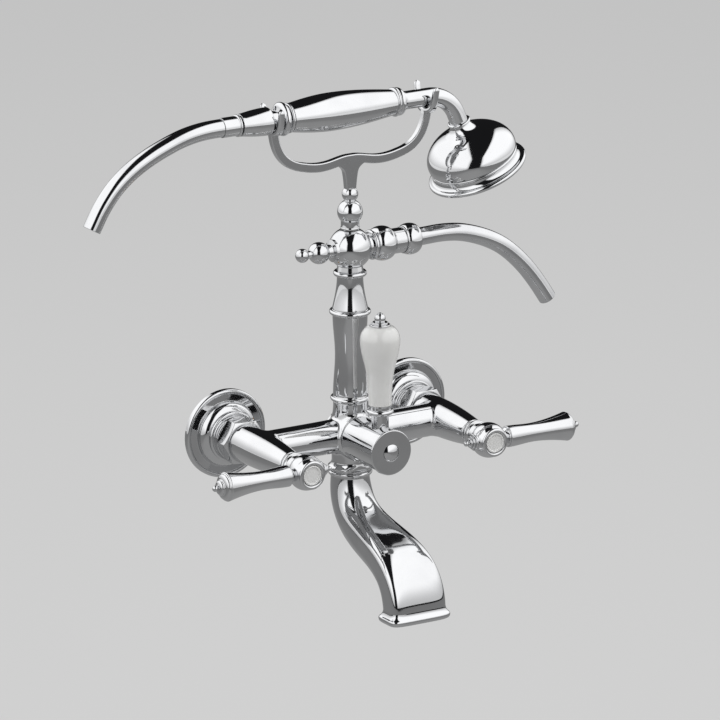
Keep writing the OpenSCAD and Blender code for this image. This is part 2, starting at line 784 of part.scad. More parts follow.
// Stepped finial with the long rod that clamps the porcelain to the stem
module diverter_finial() {
    z = grip_top + 0.1;
    color(CHROME) translate([0, stem_y, 0]) turned(concat(
        [[0, grip_foot - 9], [tie_rod_r, grip_foot - 9], [tie_rod_r, z], [7.2, z]],
        arc([6.6, z + 0.6], 0.6, 0, 90, 4),
        [[5.9, z + 1.4], [5.9, z + 1.7]],
        arc([5, z + 2.1], 0.6, 0, 90, 4),
        [[3.4, z + 3.2]],
        arc([0, z + 5.2], 3.9, -35, 66, 8),
        [[1.1, z + 9.2], [0, z + 9.5]]
    ));
}

// ------------------------------------------------------------------- riser

// Outline of a bead round a tube, from just under it to just over it
function bead(r, z, size) = arc([r - size, z], size, -80, 80, 8);

module lower_riser() {
    r_foot = 12.1;
    r_waist = 10.7;
    r_head = 12.4;
    from = riser_seat + 4.4;
    to = lower_riser_top - 4.4;
    color(CHROME) on_riser() difference() {
        turned(concat(
            [[0, riser_seat - 6], [riser_bore_r - seat_gap, riser_seat - 6],
                [riser_bore_r - seat_gap, riser_seat], [12, riser_seat]],
            bead(14, riser_seat + 2.1, 1.7),
            [for (i = [0:14])
                let (t = i / 14)
                [t < 0.5 ? r_foot + (r_waist - r_foot) * ease(t * 2)
                    : r_waist + (r_head - r_waist) * ease(t * 2 - 1), from + (to - from) * t]],
            bead(14.8, lower_riser_top - 2.1, 1.8),
            [[12.8, lower_riser_top], [0, lower_riser_top]]
        ));
        rod(riser_bore_r - 1.6, riser_seat - 7, lower_riser_top + 1);
        rod(riser_bore_r, lower_riser_top - 6, lower_riser_top + 1);
    }
}

module upper_riser() {
    color(CHROME) on_riser() difference() {
        turned(concat(
            [[0, lower_riser_top - 5], [riser_bore_r - seat_gap, lower_riser_top - 5],
                [riser_bore_r - seat_gap, lower_riser_top], [12.7, lower_riser_top]],
            [for (i = [0:12])
                let (t = i / 12)
                [12.7 - 3.4 * sin(90 * t), lower_riser_top + 0.6 + (upper_riser_length - 0.6) * t]],
            [[0, upper_riser_top]]
        ));
        rod(riser_bore_r - 1.6, lower_riser_top - 6, upper_riser_top + 1);
    }
}

// Ball at the head of the riser, with ports to both sides and for the cradle
module outlet_ball() {
    neck_r = 9;
    from = -ball_angle(ball_r, neck_r);
    to = ball_angle(ball_r, ball_flat_r);
    color(CHROME) on_riser() difference() {
        turned(concat(
            [[0, upper_riser_top - 5], [riser_bore_r - 1.6 - seat_gap, upper_riser_top - 5],
                [riser_bore_r - 1.6 - seat_gap, upper_riser_top], [9.6, upper_riser_top]],
            bead(11.9, upper_riser_top + 2.4, 1.9),
            [[neck_r + 0.4, upper_riser_top + 4.8]],
            arc([0, ball_z], ball_r, from, to, 24),
            [[0, ball_top]]
        ));
        rod(outlet_bore_r - 1, upper_riser_top - 6, ball_z);
        rod(pin_r + running_gap, pin_bottom, ball_top + 1);
        translate([0, 0, ball_z]) outward() rod(outlet_bore_r, 0, ball_r + 1);
        translate([0, 0, ball_z]) outward() rod(outlet_bore_r + 2, side_face - 6, ball_r + 1);
        translate([0, 0, ball_z]) outward() rod(side_face_r + 0.1, side_face, ball_r + 1);
        translate([0, 0, ball_z]) inward() rod(outlet_bore_r, 6, ball_r + 1);
        translate([0, 0, ball_z]) inward() rod(side_face_r + 0.1, side_face, ball_r + 1);
    }
}

module side_finial() {
    f = side_face;
    big_r = 7.8;
    small_r = 4.95;
    big_z = f + 12.5;
    small_z = big_z + 13.6;
    color(CHROME) on_riser() translate([0, 0, ball_z]) inward() turned(concat(
        [[0, f - 5.4], [outlet_bore_r - seat_gap, f - 5.4], [outlet_bore_r - seat_gap, f],
            [side_face_r - 0.4, f], [side_face_r, f + 0.5], [side_face_r, f + 2], [side_face_r - 0.8, f + 2.6],
            [5, f + 3.2], [5, f + 4.2]],
        arc([0, big_z], big_r, -ball_angle(big_r, 4.6), ball_angle(big_r, 2.8), 16),
        arc([0, small_z], small_r, -ball_angle(small_r, 2.6), 90, 12)
    ));
}

// Threaded nipple with a round bulge, from the ball to the hose nut
module outlet_nipple() {
    f = side_face;
    color(CHROME) on_riser() translate([0, 0, ball_z]) outward() difference() {
        turned(concat(
            [[0, f - 5.4], [outlet_bore_r + 1.9, f - 5.4], [outlet_bore_r + 1.9, f], [side_face_r, f],
                [side_face_r, nipple_ring]],
            arc([9.2, nipple_ring + 1.5], 1.5, -90, 90, 8),
            [[8.6, nipple_ring + 3.4]],
            oval_arc([8.4, nipple_bulge + 6.4], 4, 7.2, -80, 62, 14),
            [[9, nipple_sleeve - 0.4], [9, hose_nut_start - 0.3], [8.2, hose_nut_start - 0.3],
                [8.2, nipple_end], [0, nipple_end]]
        ));
        rod(outlet_bore_r, f - 6, nipple_end + 1);
    }
}

module outlet_hose_nut() {
    s = hose_nut_start;
    color(CHROME) on_riser() translate([0, 0, ball_z]) outward() difference() {
        turned(concat(
            [[0, s], [9.2, s], [9.8, s + 0.5]],
            oval_arc([8.3, s + 6.2], 2.95, 6, -60, 78, 14),
            [[8, hose_nut_end], [0, hose_nut_end]]
        ));
        rod(8.2 + seat_gap, s - 1, nipple_end + 1.7);
        rod(hose_r + seat_gap, s, hose_nut_end + 1);
    }
}

module outlet_washer() {
    color(RUBBER) on_riser() translate([0, 0, ball_z]) outward() ring(8, 4, nipple_end, nipple_end + 1.6);
}

// A length of hose in the plane of the riser, as a plain tube
module hose(route) {
    path = [for (p = route) [p[0], axis_y, p[1]]];
    size = [for (p = route) hose_r];
    skin(route_rings(path, [0, 1, 0], size, size, hose_fn));
}

module outlet_hose() color(CHROME) hose(outlet_route);

module swivel_pin() color(STEEL) on_riser() rod(pin_r, pin_bottom, pin_top);

// ------------------------------------------------------------------ cradle

module cradle_post() {
    waist_r = 6.5;
    color(CHROME) on_riser() difference() {
        turned(concat(
            [[0, post_bottom], [ball_flat_r - 0.4, post_bottom], [ball_flat_r, post_bottom + 0.4],
                [ball_flat_r, post_bottom + 1.2], [waist_r, post_bottom + 2]],
            arc([0, post_ball_z], post_ball_r, -ball_angle(post_ball_r, waist_r),
                ball_angle(post_ball_r, 3.9), 16),
            arc([0, post_top_ball_z], post_top_ball_r, -ball_angle(post_top_ball_r, 3.8),
                asin(4.2 / post_top_ball_r), 12),
            [[0, post_top]]
        ));
        rod(pin_r + running_gap, post_bottom - 1, pin_top + 0.6);
        rod(tie_rod_r + seat_gap, post_top - 8, post_top + 1);
    }
}

// One arm of the strap, from the post out and up to the fork
function arm_route(side) =
    let (low = strap_low, bend = fork_x - 24, top = saddle_z - saddle_t / 2)
    concat(
        curve([side * 2, 0, low + 2.6], [side * 12, 0, low + 2.6], [side * 20, 0, low - 3.4],
            [side * bend, 0, low + 1.4], 8),
        [for (k = [1:8])
            curve([side * bend, 0, low + 1.4], [side * (bend + 14), 0, low + 4.4],
                [side * (bend + 22), 0, low + 12], [side * fork_x, 0, top], 8)[k]]
    );

function backwards(list) = [for (k = [len(list) - 1:-1:0]) list[k]];

// Half of a fork, from the saddle out and up to a tip beside the hand shower
function prong_route(side, face) =
    let (z = saddle_z - saddle_t / 2)
    curve([side * fork_x, face * 1, z], [side * fork_x, face * 11, z + 0.6],
        [side * fork_x, face * 10.4, z + 8], [side * (fork_x + 0.6), face * 13.4, z + 18.6], 10);

module cradle_fork() {
    strap = concat(backwards(arm_route(-1)), arm_route(1));
    stem = [
        [4, post_top + 0.1], [4.9, post_top + 8], [6.4, strap_low - 5], [10.5, strap_low - 1.6],
        [14, strap_low - 0.2], [10, strap_low + 2.6], [2, strap_low + 4]
    ];
    color(CHROME) translate([0, axis_y, 0]) {
        skin(route_rings(strap, [0, 1, 0], [for (p = strap) strap_w / 2], [for (p = strap) strap_t / 2],
            strap_fn));
        for (side = [-1, 1]) {
            prongs = concat(backwards(prong_route(side, -1)), prong_route(side, 1));
            last = len(prongs) - 1;
            taper = [for (k = [0:last]) abs(2 * k / last - 1)];
            skin(route_rings(prongs, [1, 0, 0], [for (t = taper) saddle_t / 2 * (1 - 0.35 * t)],
                [for (t = taper) prong_w / 2 * (1 - 0.3 * t)], strap_fn));
        }
        translate([0, strap_t / 2, 0]) rotate([90, 0, 0]) linear_extrude(strap_t)
            polygon(concat(stem, [for (p = backwards(stem)) [-p[0], p[1]]]));
        rod(tie_rod_r, post_top - 7, post_top + 1);
    }
}

// ------------------------------------------------------------- hand shower

module rear_cone_nut() {
    color(CHROME) along_shower() difference() {
        turned(concat(
            [[0, cone_start], [7.4, cone_start], [7.9, cone_start + 0.5]],
            [for (i = [1:6]) [7.9 + 2 * sin(90 * i / 6), cone_start + 0.5 + (cone_length - 2.6) * i / 6]],
            arc([8.4, cone_end - 1.5], 1.5, 0, 90, 6),
            [[0, cone_end]]
        ));
        rod(hose_bore_r + 0.6, cone_start - 1, cone_end + 1);
        rod(6.8, cone_end - 12, cone_end + 1);
    }
}

// Crimped sleeve that joins the hose to the cone nut
module hose_ferrule() {
    color(CHROME) along_shower() difference() {
        turned(concat(
            [[0, ferrule_start], [hose_r + 0.3, ferrule_start], [hose_r + 0.5, ferrule_start + 0.4],
                [hose_r + 0.5, cone_start - 3.2]],
            arc([hose_r + 0.3, cone_start - 1.9], 1.1, -80, 80, 8),
            [[hose_r + 0.2, cone_start - 0.4], [hose_bore_r + 0.5, cone_start - 0.4],
                [hose_bore_r + 0.5, cone_start + 6], [0, cone_start + 6]]
        ));
        rod(hose_r + seat_gap, ferrule_start - 1, ferrule_start + 6);
        rod(hose_bore_r - 1, ferrule_start, cone_start + 7);
    }
}

// Collar with a bead; its neck hangs in the rear fork
module rear_collar() {
    color(CHROME) along_shower() difference() {
        turned(concat(
            [[0, cone_end - 11], [6.7, cone_end - 11], [6.7, cone_end], [neck_tube_r, cone_end + 0.1],
                [neck_tube_r, bead_start], [8, bead_start + 0.2]],
            oval_arc([8, bead_start + 3.2], 4, 3, -80, 80, 12),
            [[9.4, bead_start + 6.6]],
            arc([9.6, bead_start + 7.9], 1.1, -80, 80, 8),
            [[9.4, collar_end], [0, collar_end]]
        ));
        rod(shower_bore_r, cone_end - 12, collar_end + 1);
    }
}

// Outline of the hand shower's grip, widest near a third of its length
function shower_grip_radius(t) =
    t < 0.4 ? grip_start_r + (shower_grip_d / 2 - grip_start_r) * sin(225 * t)
        : grip_end_r + (shower_grip_d / 2 - grip_end_r) * cos(150 * (t - 0.4));

module shower_grip() {
    color(CHROME) along_shower() difference() {
        turned(concat(
            [[0, grip_start]],
            [for (i = [0:20]) [shower_grip_radius(i / 20), grip_start + shower_grip_length * i / 20]],
            [[0, grip_end]]
        ));
        rod(shower_bore_r + 2, grip_start - 1, grip_end + 1);
    }
}

module front_collar() {
    color(CHROME) along_shower() difference() {
        turned(concat(
            [[0, grip_end], [9.2, grip_end]],
            arc([9.2, grip_end + 1.3], 1.2, -80, 80, 8),
            [[9.2, grip_end + 2.8]],
            oval_arc([8.2, grip_end + 4.6], 1.8, 2.2, -60, 80, 10),
            [[neck_tube_r + 0.6, front_collar_end], [0, front_collar_end]]
        ));
        rod(neck_tube_r + seat_gap, front_collar_end - 6, front_collar_end + 1);
        rod(shower_bore_r, grip_end - 1, front_collar_end);
    }
}

// Tube from the front collar, round the bend and down to the head
module shower_neck() {
    start = front_collar_end - 6;
    color(CHROME) difference() {
        union() {
            along_shower() rod(neck_tube_r, start, bend_start);
            neck_bend(neck_tube_r - bend_inset);
            at_head() rod(neck_tube_r, head_height, head_height + neck_tail);
        }
        along_shower() rod(shower_bore_r, start - 1, bend_start);
        neck_bend(shower_bore_r - bend_inset);
        at_head() rod(shower_bore_r, head_height - 1, head_height + neck_tail);
    }
}

// A bent rod of the given radius, a degree longer than the bend at each end
module neck_bend(r) {
    translate([bend_start, axis_y, rest_z - neck_bend_r]) rotate([90, 0, 0]) rotate([0, 0, head_tilt - 1])
        rotate_extrude(angle = bend_turn + 2, $fn = turn_fn) translate([neck_bend_r, 0])
            circle(r = r, $fn = 48);
}

// Outline of the shower bell from its rim up to its neck
function bell_outline() =
    let (r = head_r, h = head_height)
    concat(
        [[r - 3, 0], [r - 1.6, 0]],
        arc([r - 1.8, 1.9], 1.8, -80, 80, 8),
        oval_arc([r - 2.2, 8.2], 3, 4.4, 270, 180, 6),
        arc([r - 5.4, 9.4], 1.1, -70, 80, 6),
        oval_arc([0, 14.5], r - 3.6, h - 21.5, -10, 67, 16),
        oval_arc([15.4, h - 1.4], 8.4, 7.4, 250, 186, 6),
        arc([7.2, h - 1], 1.2, -60, 90, 6),
        [[neck_tube_r, h + 0.2]]
    );

module shower_bell() {
    r = head_r;
    h = head_height;
    hollow = concat(
        [[0, h - 7], [5, h - 8]],
        [for (i = [0:10]) let (a = 70 - 78 * i / 10) [(r - 6.6) * cos(a), 14.5 + (h - 23.5) * sin(a)]],
        [[r - 7.2, 9], [r - 7.2, 5], [plate_r + 0.1, 5], [plate_r + 0.1, -1], [0, -1]]
    );
    color(CHROME) at_head() difference() {
        turned(concat([[0, 0]], bell_outline(), [[0, h + 0.2]]));
        turned(hollow);
        rod(shower_bore_r, h - 9, h + 1);
        rod(neck_tube_r + 0.02, h, h + 1);
    }
}

// Rings of nozzles: how many in each ring, from the middle out
nozzle_rings = [6, 12, 18, 24];
nozzle_pitch = 6.2;

module at_nozzles() {
    children();
    for (k = [0:len(nozzle_rings) - 1], i = [0:nozzle_rings[k] - 1])
        rotate([0, 0, 360 * i / nozzle_rings[k]]) translate([nozzle_pitch * (k + 1), 0, 0]) children();
}

module spray_plate() {
    color(CHROME) at_head() difference() {
        turned([
            [0, 4.4], [plate_r - 4, 4.4], [plate_r, 4.4], [plate_r, 1.4], [plate_r - 1.4, 1],
            [plate_r - 3, 1.6], [0, 1.2]
        ]);
        at_nozzles() translate([0, 0, -1]) cylinder(r = nozzle_r + 0.05, h = 8, $fn = 24);
    }
}

// Rubber mat behind the plate with a nozzle through every hole
module spray_nozzles() {
    color(RUBBER) at_head() {
        rod(plate_r - 3, 4.5, 5.5);
        at_nozzles() translate([0, 0, 0.3]) cylinder(r = nozzle_r, h = 4.6, $fn = 24);
    }
}

module shower_hose() color(CHROME) hose(shower_route);

// ------------------------------------------------------------------- spout

module spout_nut() {
    r = spout_inlet_r - 0.6;
    color(CHROME) on_riser() difference() {
        turned(concat(
            [[0, spout_top], [r, spout_top]],
            arc([r, spout_top + 2.6], 1.6, -70, 70, 8),
            [[r, socket_bottom - 1.4], [r + 0.6, socket_bottom - 0.8], [r + 0.6, socket_bottom],
                [0, socket_bottom]]
        ));
        rod(9.4, spout_top - 1, socket_bottom + 1);
    }
}

// Centre line of the spout, as y and z, from its nut to its lip
spout_line = curve([axis_y, spout_top], [axis_y, spout_top - spout_drop * 0.74],
    [mouth_y + 6.2, lip_top + spout_drop * 0.69], [mouth_y, lip_top], spout_stations);

// A closed ring with flattened sides, w and d being half its width and depth
function flat_ring(w, d, power) = [
    for (i = [0:ring_points - 1])
        let (a = 360 * i / ring_points, c = cos(a), s = sin(a))
        [w * sign(c) * pow(abs(c), 2 / power), d * sign(s) * pow(abs(s), 2 / power)]
];

// A ring across the spout at point p, square to direction t in the YZ plane
function spout_ring(p, t, w, d, power) = [
    for (q = flat_ring(w, d, power)) [q[0], p[0] - t[1] * q[1], p[1] + t[0] * q[1]]
];

// The spout's body, shrunk all round by the given wall
function spout_rings(wall) = [
    for (k = [0:spout_stations])
        let (
            t = k / spout_stations,
            e = ease(t),
            d = k == 0 ? [0, -1] : spout_line[min(k + 1, spout_stations)] - spout_line[k - 1]
        )
        spout_ring(spout_line[k], d / norm(d),
            spout_inlet_r + (spout_w / 2 - spout_inlet_r) * e - wall,
            spout_inlet_r + (spout_depth / 2 - spout_inlet_r) * e - wall, 2 + 3 * e)
];

// A flat ring at the mouth, grown by the given amount at the given height
function mouth_ring(grow, z) =
    spout_ring([mouth_y, z], [0, -1], spout_w / 2 + grow, spout_depth / 2 + grow, 5);

module spout() {
    // How far each ring of the lip stands out and lies down, as parts of the whole
    roll = [[0, 0], [0.15, 0.22], [0.5, 0.42], [0.9, 0.56], [1, 0.72], [0.85, 0.9], [0.5, 1]];
    lip = [for (k = roll) mouth_ring(lip_flare * k[0], lip_top - lip_height * k[1])];
    inner_lip = [mouth_ring(-spout_wall, lip_top), mouth_ring(-spout_wall, mouth_z - 1)];
    outer = [for (k = [0:spout_stations - 1]) spout_rings(0)[k]];
    inner = [for (k = [0:spout_stations - 1]) spout_rings(spout_wall)[k]];
    inlet = [[for (p = inner[0]) p + [0, 0, 1]]];
    color(CHROME) difference() {
        skin(concat(outer, lip));
        skin(concat(inlet, inner, inner_lip));
    }
}

// Slotted plate that straightens the flow at the mouth
module spout_screen() {
    w = spout_w / 2 - spout_wall - 0.2;
    d = spout_depth / 2 - spout_wall - 0.2;
    color(PLASTIC) translate([0, mouth_y, mouth_z + screen_setback]) linear_extrude(screen_t) difference() {
        polygon(flat_ring(w, d, 5));
        for (x = [-w + 3.4:3:w - 3.4], y = [-d + 2.6:3:d - 2.6])
            translate([x, y]) square(1.8, center = true);
    }
}

left_union();
right_union();
left_flange();
right_flange();
left_union_nut();
right_union_nut();
inlet_washers();
valve_body();
left_cartridge();
right_cartridge();
left_bonnet();
right_bonnet();
diverter_cartridge();
diverter_bonnet();
lower_riser();
upper_riser();
outlet_ball();
side_finial();
outlet_nipple();
outlet_hose_nut();
outlet_washer();
outlet_hose();
swivel_pin();
spout_nut();
spout();
spout_screen();
left_spindle();
left_hub();
left_lever();
left_lever_tip();
left_hub_finial();
left_screw();
left_index();
right_spindle();
right_hub();
right_lever();
right_lever_tip();
right_hub_finial();
right_screw();
right_index();
diverter_spindle();
diverter_drum();
diverter_screw();
diverter_button();
diverter_stem();
diverter_grip();
diverter_finial();
cradle_post();
cradle_fork();
rear_cone_nut();
hose_ferrule();
rear_collar();
shower_grip();
front_collar();
shower_neck();
shower_bell();
spray_plate();
spray_nozzles();
shower_hose();
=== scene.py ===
# %% [markdown]
# # A wall mounted bath faucet with a hand shower
# The model comes from the CAD program as a set of rigid solids in millimetre accuracy. This lesson gives them
# the surfaces that the real castings and turned parts have, and then a finish, a floor and light. The CAD
# solids are the frame: they are never moved, and every piece made here rides on one of their bodies.

# %% Load the frame
import json
import math

import bmesh
import bpy
import numpy as np
from mathutils import Matrix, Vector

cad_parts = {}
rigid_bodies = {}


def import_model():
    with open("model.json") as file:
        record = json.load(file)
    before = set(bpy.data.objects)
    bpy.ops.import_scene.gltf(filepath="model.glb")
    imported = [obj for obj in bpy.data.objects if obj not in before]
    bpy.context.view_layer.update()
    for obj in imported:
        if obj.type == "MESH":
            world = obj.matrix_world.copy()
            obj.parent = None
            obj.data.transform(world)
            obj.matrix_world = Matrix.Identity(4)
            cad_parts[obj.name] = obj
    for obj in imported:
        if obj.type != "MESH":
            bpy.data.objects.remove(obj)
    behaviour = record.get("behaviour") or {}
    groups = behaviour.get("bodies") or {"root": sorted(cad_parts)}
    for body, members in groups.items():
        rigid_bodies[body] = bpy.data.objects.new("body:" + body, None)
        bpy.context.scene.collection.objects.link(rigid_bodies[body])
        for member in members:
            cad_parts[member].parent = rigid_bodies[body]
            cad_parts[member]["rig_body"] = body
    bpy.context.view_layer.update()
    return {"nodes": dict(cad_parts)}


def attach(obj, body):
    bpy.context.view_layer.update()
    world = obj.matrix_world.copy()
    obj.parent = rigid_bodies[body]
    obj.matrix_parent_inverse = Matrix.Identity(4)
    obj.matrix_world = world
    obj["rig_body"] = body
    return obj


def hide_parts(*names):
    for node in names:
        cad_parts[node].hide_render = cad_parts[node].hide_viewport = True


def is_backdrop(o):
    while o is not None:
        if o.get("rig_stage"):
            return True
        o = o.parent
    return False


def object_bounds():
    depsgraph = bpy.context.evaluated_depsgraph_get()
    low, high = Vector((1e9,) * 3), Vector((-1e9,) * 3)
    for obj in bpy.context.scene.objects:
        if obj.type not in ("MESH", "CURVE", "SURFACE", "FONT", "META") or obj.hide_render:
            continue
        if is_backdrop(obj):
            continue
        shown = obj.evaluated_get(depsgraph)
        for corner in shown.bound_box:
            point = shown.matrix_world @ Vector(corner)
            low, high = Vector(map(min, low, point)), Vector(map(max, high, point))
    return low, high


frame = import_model()
scene = bpy.context.scene
MM = 0.001

# %% [markdown]
# ## The camera
# Product shots of taps use a long lens from well back, so that parallel tubes stay parallel. The camera looks
# from the left and a little from above. Its place is worked out from two angles, a distance and a small
# shift of the point that it aims at, so each number has a meaning of its own.

# %% Place the camera
view_turn, view_rise = math.radians(-31.342), math.radians(16.303)
to_camera = np.array([
    math.sin(view_turn) * math.cos(view_rise),
    -math.cos(view_turn) * math.cos(view_rise),
    math.sin(view_rise),
])
view_right = np.array([math.cos(view_turn), math.sin(view_turn), 0.0])
view_up = np.cross(to_camera, view_right)
AIM_RIGHT, AIM_DOWN, DISTANCE, LENS = 6.168 * MM, 5.432 * MM, 5.275, 374.3
aim = np.array([0, -50, 60]) * MM + view_right * AIM_RIGHT - view_up * AIM_DOWN


def turn_from(x, y, z):
    """A rotation whose columns are the three given directions."""
    return Matrix((x, y, z)).transposed().to_quaternion()


camera = bpy.data.objects.new("camera", bpy.data.cameras.new("camera"))
scene.collection.objects.link(camera)
camera.data.sensor_width = 36
camera.data.lens = LENS
camera.data.clip_start, camera.data.clip_end = 0.05, 200
camera.location = aim + to_camera * DISTANCE
camera.rotation_mode = "QUATERNION"
camera.rotation_quaternion = turn_from(view_right, view_up, to_camera)
scene.camera = camera
print("camera at", [round(v, 3) for v in camera.location])

# %% [markdown]
# ## Skinning rings
# Almost every piece of a tap is a tube or a turned solid, which is a row of rings with a skin over them. One
# helper does that: neighbouring rings are joined by quads, rings that shrink to a point are welded, and the
# outside is found afterwards. Smooth shading with sharp creases kept, and normals weighted by face area,
# stops flat faces from looking bowed in a mirror finish.

# %% A mesh from rings of points
CREASE, WELD = math.radians(38), 2e-7


def smooth_object(name, points, faces, weld):
    """A smooth shaded object from points in millimetres, with its faces turned outwards."""
    mesh = bpy.data.meshes.new(name)
    mesh.from_pydata((np.asarray(points) * MM).tolist(), [], faces)
    bm = bmesh.new()
    bm.from_mesh(mesh)
    if weld:
        bmesh.ops.remove_doubles(bm, verts=bm.verts, dist=WELD)
    bmesh.ops.recalc_face_normals(bm, faces=bm.faces)
    bm.to_mesh(mesh)
    bm.free()
    mesh.shade_smooth()
    piece = bpy.data.objects.new(name, mesh)
    scene.collection.objects.link(piece)
    return piece


def ring_faces(count, around, loop, start=0):
    """Quads between neighbouring rings; loop also joins the last ring to the first."""
    faces = []
    for k in range(count if loop else count - 1):
        a, b = start + k * around, start + (k + 1) % count * around
        for i in range(around):
            j = (i + 1) % around
            faces.append((a + i, a + j, b + j, b + i))
    return faces


def capped(rings):
    """The rings with each end drawn in to its middle."""
    rings = np.asarray(rings, float)
    first = np.repeat(rings[:1].mean(axis=1, keepdims=True), rings.shape[1], axis=1)
    last = np.repeat(rings[-1:].mean(axis=1, keepdims=True), rings.shape[1], axis=1)
    return np.concatenate([first, rings, last])


def skin(name, *shells, loop=False):
    """One piece from one or more stacks of rings."""
    points, faces, start = [], [], 0
    for rings in shells:
        rings = np.asarray(rings, float) if loop else capped(rings)
        points.append(rings.reshape(-1, 3))
        faces += ring_faces(rings.shape[0], rings.shape[1], loop, start)
        start += rings.shape[0] * rings.shape[1]
    piece = smooth_object(name, np.concatenate(points), faces, weld=True)
    piece.data.set_sharp_from_angle(angle=CREASE)
    even = piece.modifiers.new("even_shading", "WEIGHTED_NORMAL")
    even.keep_sharp = True
    return piece


# %% [markdown]
# ## Riding and finishes
# Each finished piece takes the place of one CAD node. This helper does the three things that go with that:
# it rides on the node's body, hides the node, and takes the node's finish from the record.

# %% Standing in for a CAD node
body_of_node = {n: o["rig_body"] for n, o in frame["nodes"].items()}
slot_of_node = {n: o.data.materials[0].name.split(".")[0] for n, o in frame["nodes"].items()}
finished = {}


def stands_for(piece, node):
    """Let a piece ride on a node's body in its place, with its finish."""
    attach(piece, body_of_node[node])
    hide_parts(node)
    finished[piece.name] = slot_of_node[node]
    return piece


# %% [markdown]
# ## The two hoses
# The hose is a metal covered tube, 13 mm across, that leaves its nut straight and then bends down under its
# own weight. Both ends are plain cuts, so each hose is a hollow tube: one skin runs along the outside,
# turns in over the rim and comes back along the inside. It is drawn 0.2 mm slimmer than the cord, so that
# it stays inside the CAD model's outline.

# %% Smooth routes and hollow tubes
RISER_Y = -48.4
CORD_D, HOSE_R, HOSE_WALL, HOSE_RIM = 13.0, 6.4, 1.7, 0.35


def smooth_route(points, steps):
    """Points on one smooth curve through the given ones, evenly many between each two."""
    p = np.asarray(points, float)
    p = np.concatenate([[2 * p[0] - p[1]], p, [2 * p[-1] - p[-2]]])
    made = []
    for k in range(1, len(p) - 2):
        for t in np.arange(steps) / steps:
            a, b, c, d = p[k - 1:k + 3]
            made.append(0.5 * (2 * b + (c - a) * t + (2 * a - 5 * b + 4 * c - d) * t ** 2
                               + (3 * b - a - 3 * c + d) * t ** 3))
    return np.array(made + [p[-2]])


def directions(path):
    """The direction of the path at each of its points."""
    d = np.gradient(path, axis=0)
    return d / np.linalg.norm(d, axis=1, keepdims=True)


def hose(name, node, route):
    """A hollow tube along a route of X and Z in the riser's plane."""
    path = smooth_route([(x, RISER_Y, z) for x, z in route], 4)
    ahead = directions(path)
    side = np.array([0.0, 1.0, 0.0])
    around = np.linspace(0, 2 * math.pi, 64, endpoint=False)

    def ring(k, r, shift=0.0):
        up = np.cross(ahead[k], side)
        return (path[k] + ahead[k] * shift
                + r * (np.cos(around)[:, None] * up + np.sin(around)[:, None] * side))

    inner = HOSE_R - HOSE_WALL
    last = len(path) - 1
    rings = [ring(0, inner), ring(0, HOSE_R)]
    rings += [ring(k, HOSE_R) for k in range(1, last)]
    round_rim = np.radians(np.arange(0, 91, 18))
    for a in round_rim:
        rings.append(ring(last, HOSE_R - HOSE_RIM * (1 - math.cos(a)), HOSE_RIM * (math.sin(a) - 1)))
    for a in round_rim[::-1]:
        rings.append(ring(last, inner + HOSE_RIM * (1 - math.cos(a)), HOSE_RIM * (math.sin(a) - 1)))
    rings += [ring(k, inner) for k in range(last - 1, 0, -1)]
    piece = stands_for(skin(name, rings, loop=True), node)
    return piece


# %% [markdown]
# Each route is a short list of points that follows the middle of the real hose, in X and Z on the riser's
# plane. Both routes start inside their nut or ferrule, so no end shows there.

# %% Make both hoses
outlet_route = [(52, 135.8), (62, 136.2), (75, 136.4), (88, 135.2), (100, 132.2), (113, 127.2),
                (125, 120.6), (136, 111.8), (146.5, 101), (156, 88.8), (165, 75.5)]
shower_route = [(-99, 236.8), (-115, 236.6), (-127, 235.3), (-138, 232.8), (-149.5, 228.8), (-161, 224),
                (-173, 217.6), (-183, 210.5), (-191.5, 202.5), (-200, 191.5), (-207.6, 178.2)]
hose("outlet_hose_tube", "outlet_hose", outlet_route)
hose("shower_hose_tube", "shower_hose", shower_route)

# %% [markdown]
# ## Turned pieces
# A lathe cuts a piece from an outline of radius against height. Arcs make the beads and balls, and sharp
# corners get a small radius, because a polished edge is never knife sharp: that tiny radius is what catches
# the light. A turned solid's place is a point and the direction in which its heights run.

# %% Outlines
def arc(centre, r, start, stop, steps=10):
    """Points on an arc, as radius and height, with angles in degrees."""
    return oval(centre, r, r, start, stop, steps)


def oval(centre, rx, ry, start, stop, steps=14):
    """Like an arc, with its own size across and along."""
    a = np.radians(np.linspace(start, stop, steps + 1))
    return [(centre[0] + rx * math.cos(t), centre[1] + ry * math.sin(t)) for t in a]


def ease(t):
    """Half of a cosine wave, from 0 at t = 0 to 1 at t = 1."""
    return (1 - math.cos(math.pi * t)) / 2


def run(function, steps):
    """The points of a curve given as a function of t from 0 to 1."""
    return [function(i / steps) for i in range(steps + 1)]


def equator(r, neck):
    """Degrees from a ball's equator to the height where it is as wide as its neck."""
    return math.degrees(math.acos(neck / r))


def rounded(points, default=0.0, steps=5):
    """The outline with its corners cut to arcs. A third number on a point is its own corner radius."""
    pts = [np.array(p[:2], float) for p in points]
    radii = [p[2] if len(p) > 2 else default for p in points]
    made = [pts[0]]
    for k in range(1, len(pts) - 1):
        p, f = pts[k], radii[k]
        a, b = pts[k - 1] - p, pts[k + 1] - p
        la, lb = np.linalg.norm(a), np.linalg.norm(b)
        if f <= 0 or la < 1e-6 or lb < 1e-6:
            made.append(p)
            continue
        a, b = a / la, b / lb
        half = math.acos(max(-1.0, min(1.0, float(a @ b)))) / 2
        if half > math.radians(85):
            made.append(p)
            continue
        cut = min(f / math.tan(half), 0.48 * la, 0.48 * lb)
        start, stop = p + a * cut, p + b * cut
        for t in np.linspace(0, 1, steps + 1):
            made.append((1 - t) ** 2 * start + 2 * t * (1 - t) * p + t ** 2 * stop)
    made.append(pts[-1])
    return [tuple(p) for p in made]


# %% [markdown]
# A turned piece is one circle of points for each point of its outline. A cut may change the radius with the
# angle, which gives threads and flats that a plain spin can't.

# %% The lathe
X, Y, Z = np.eye(3)


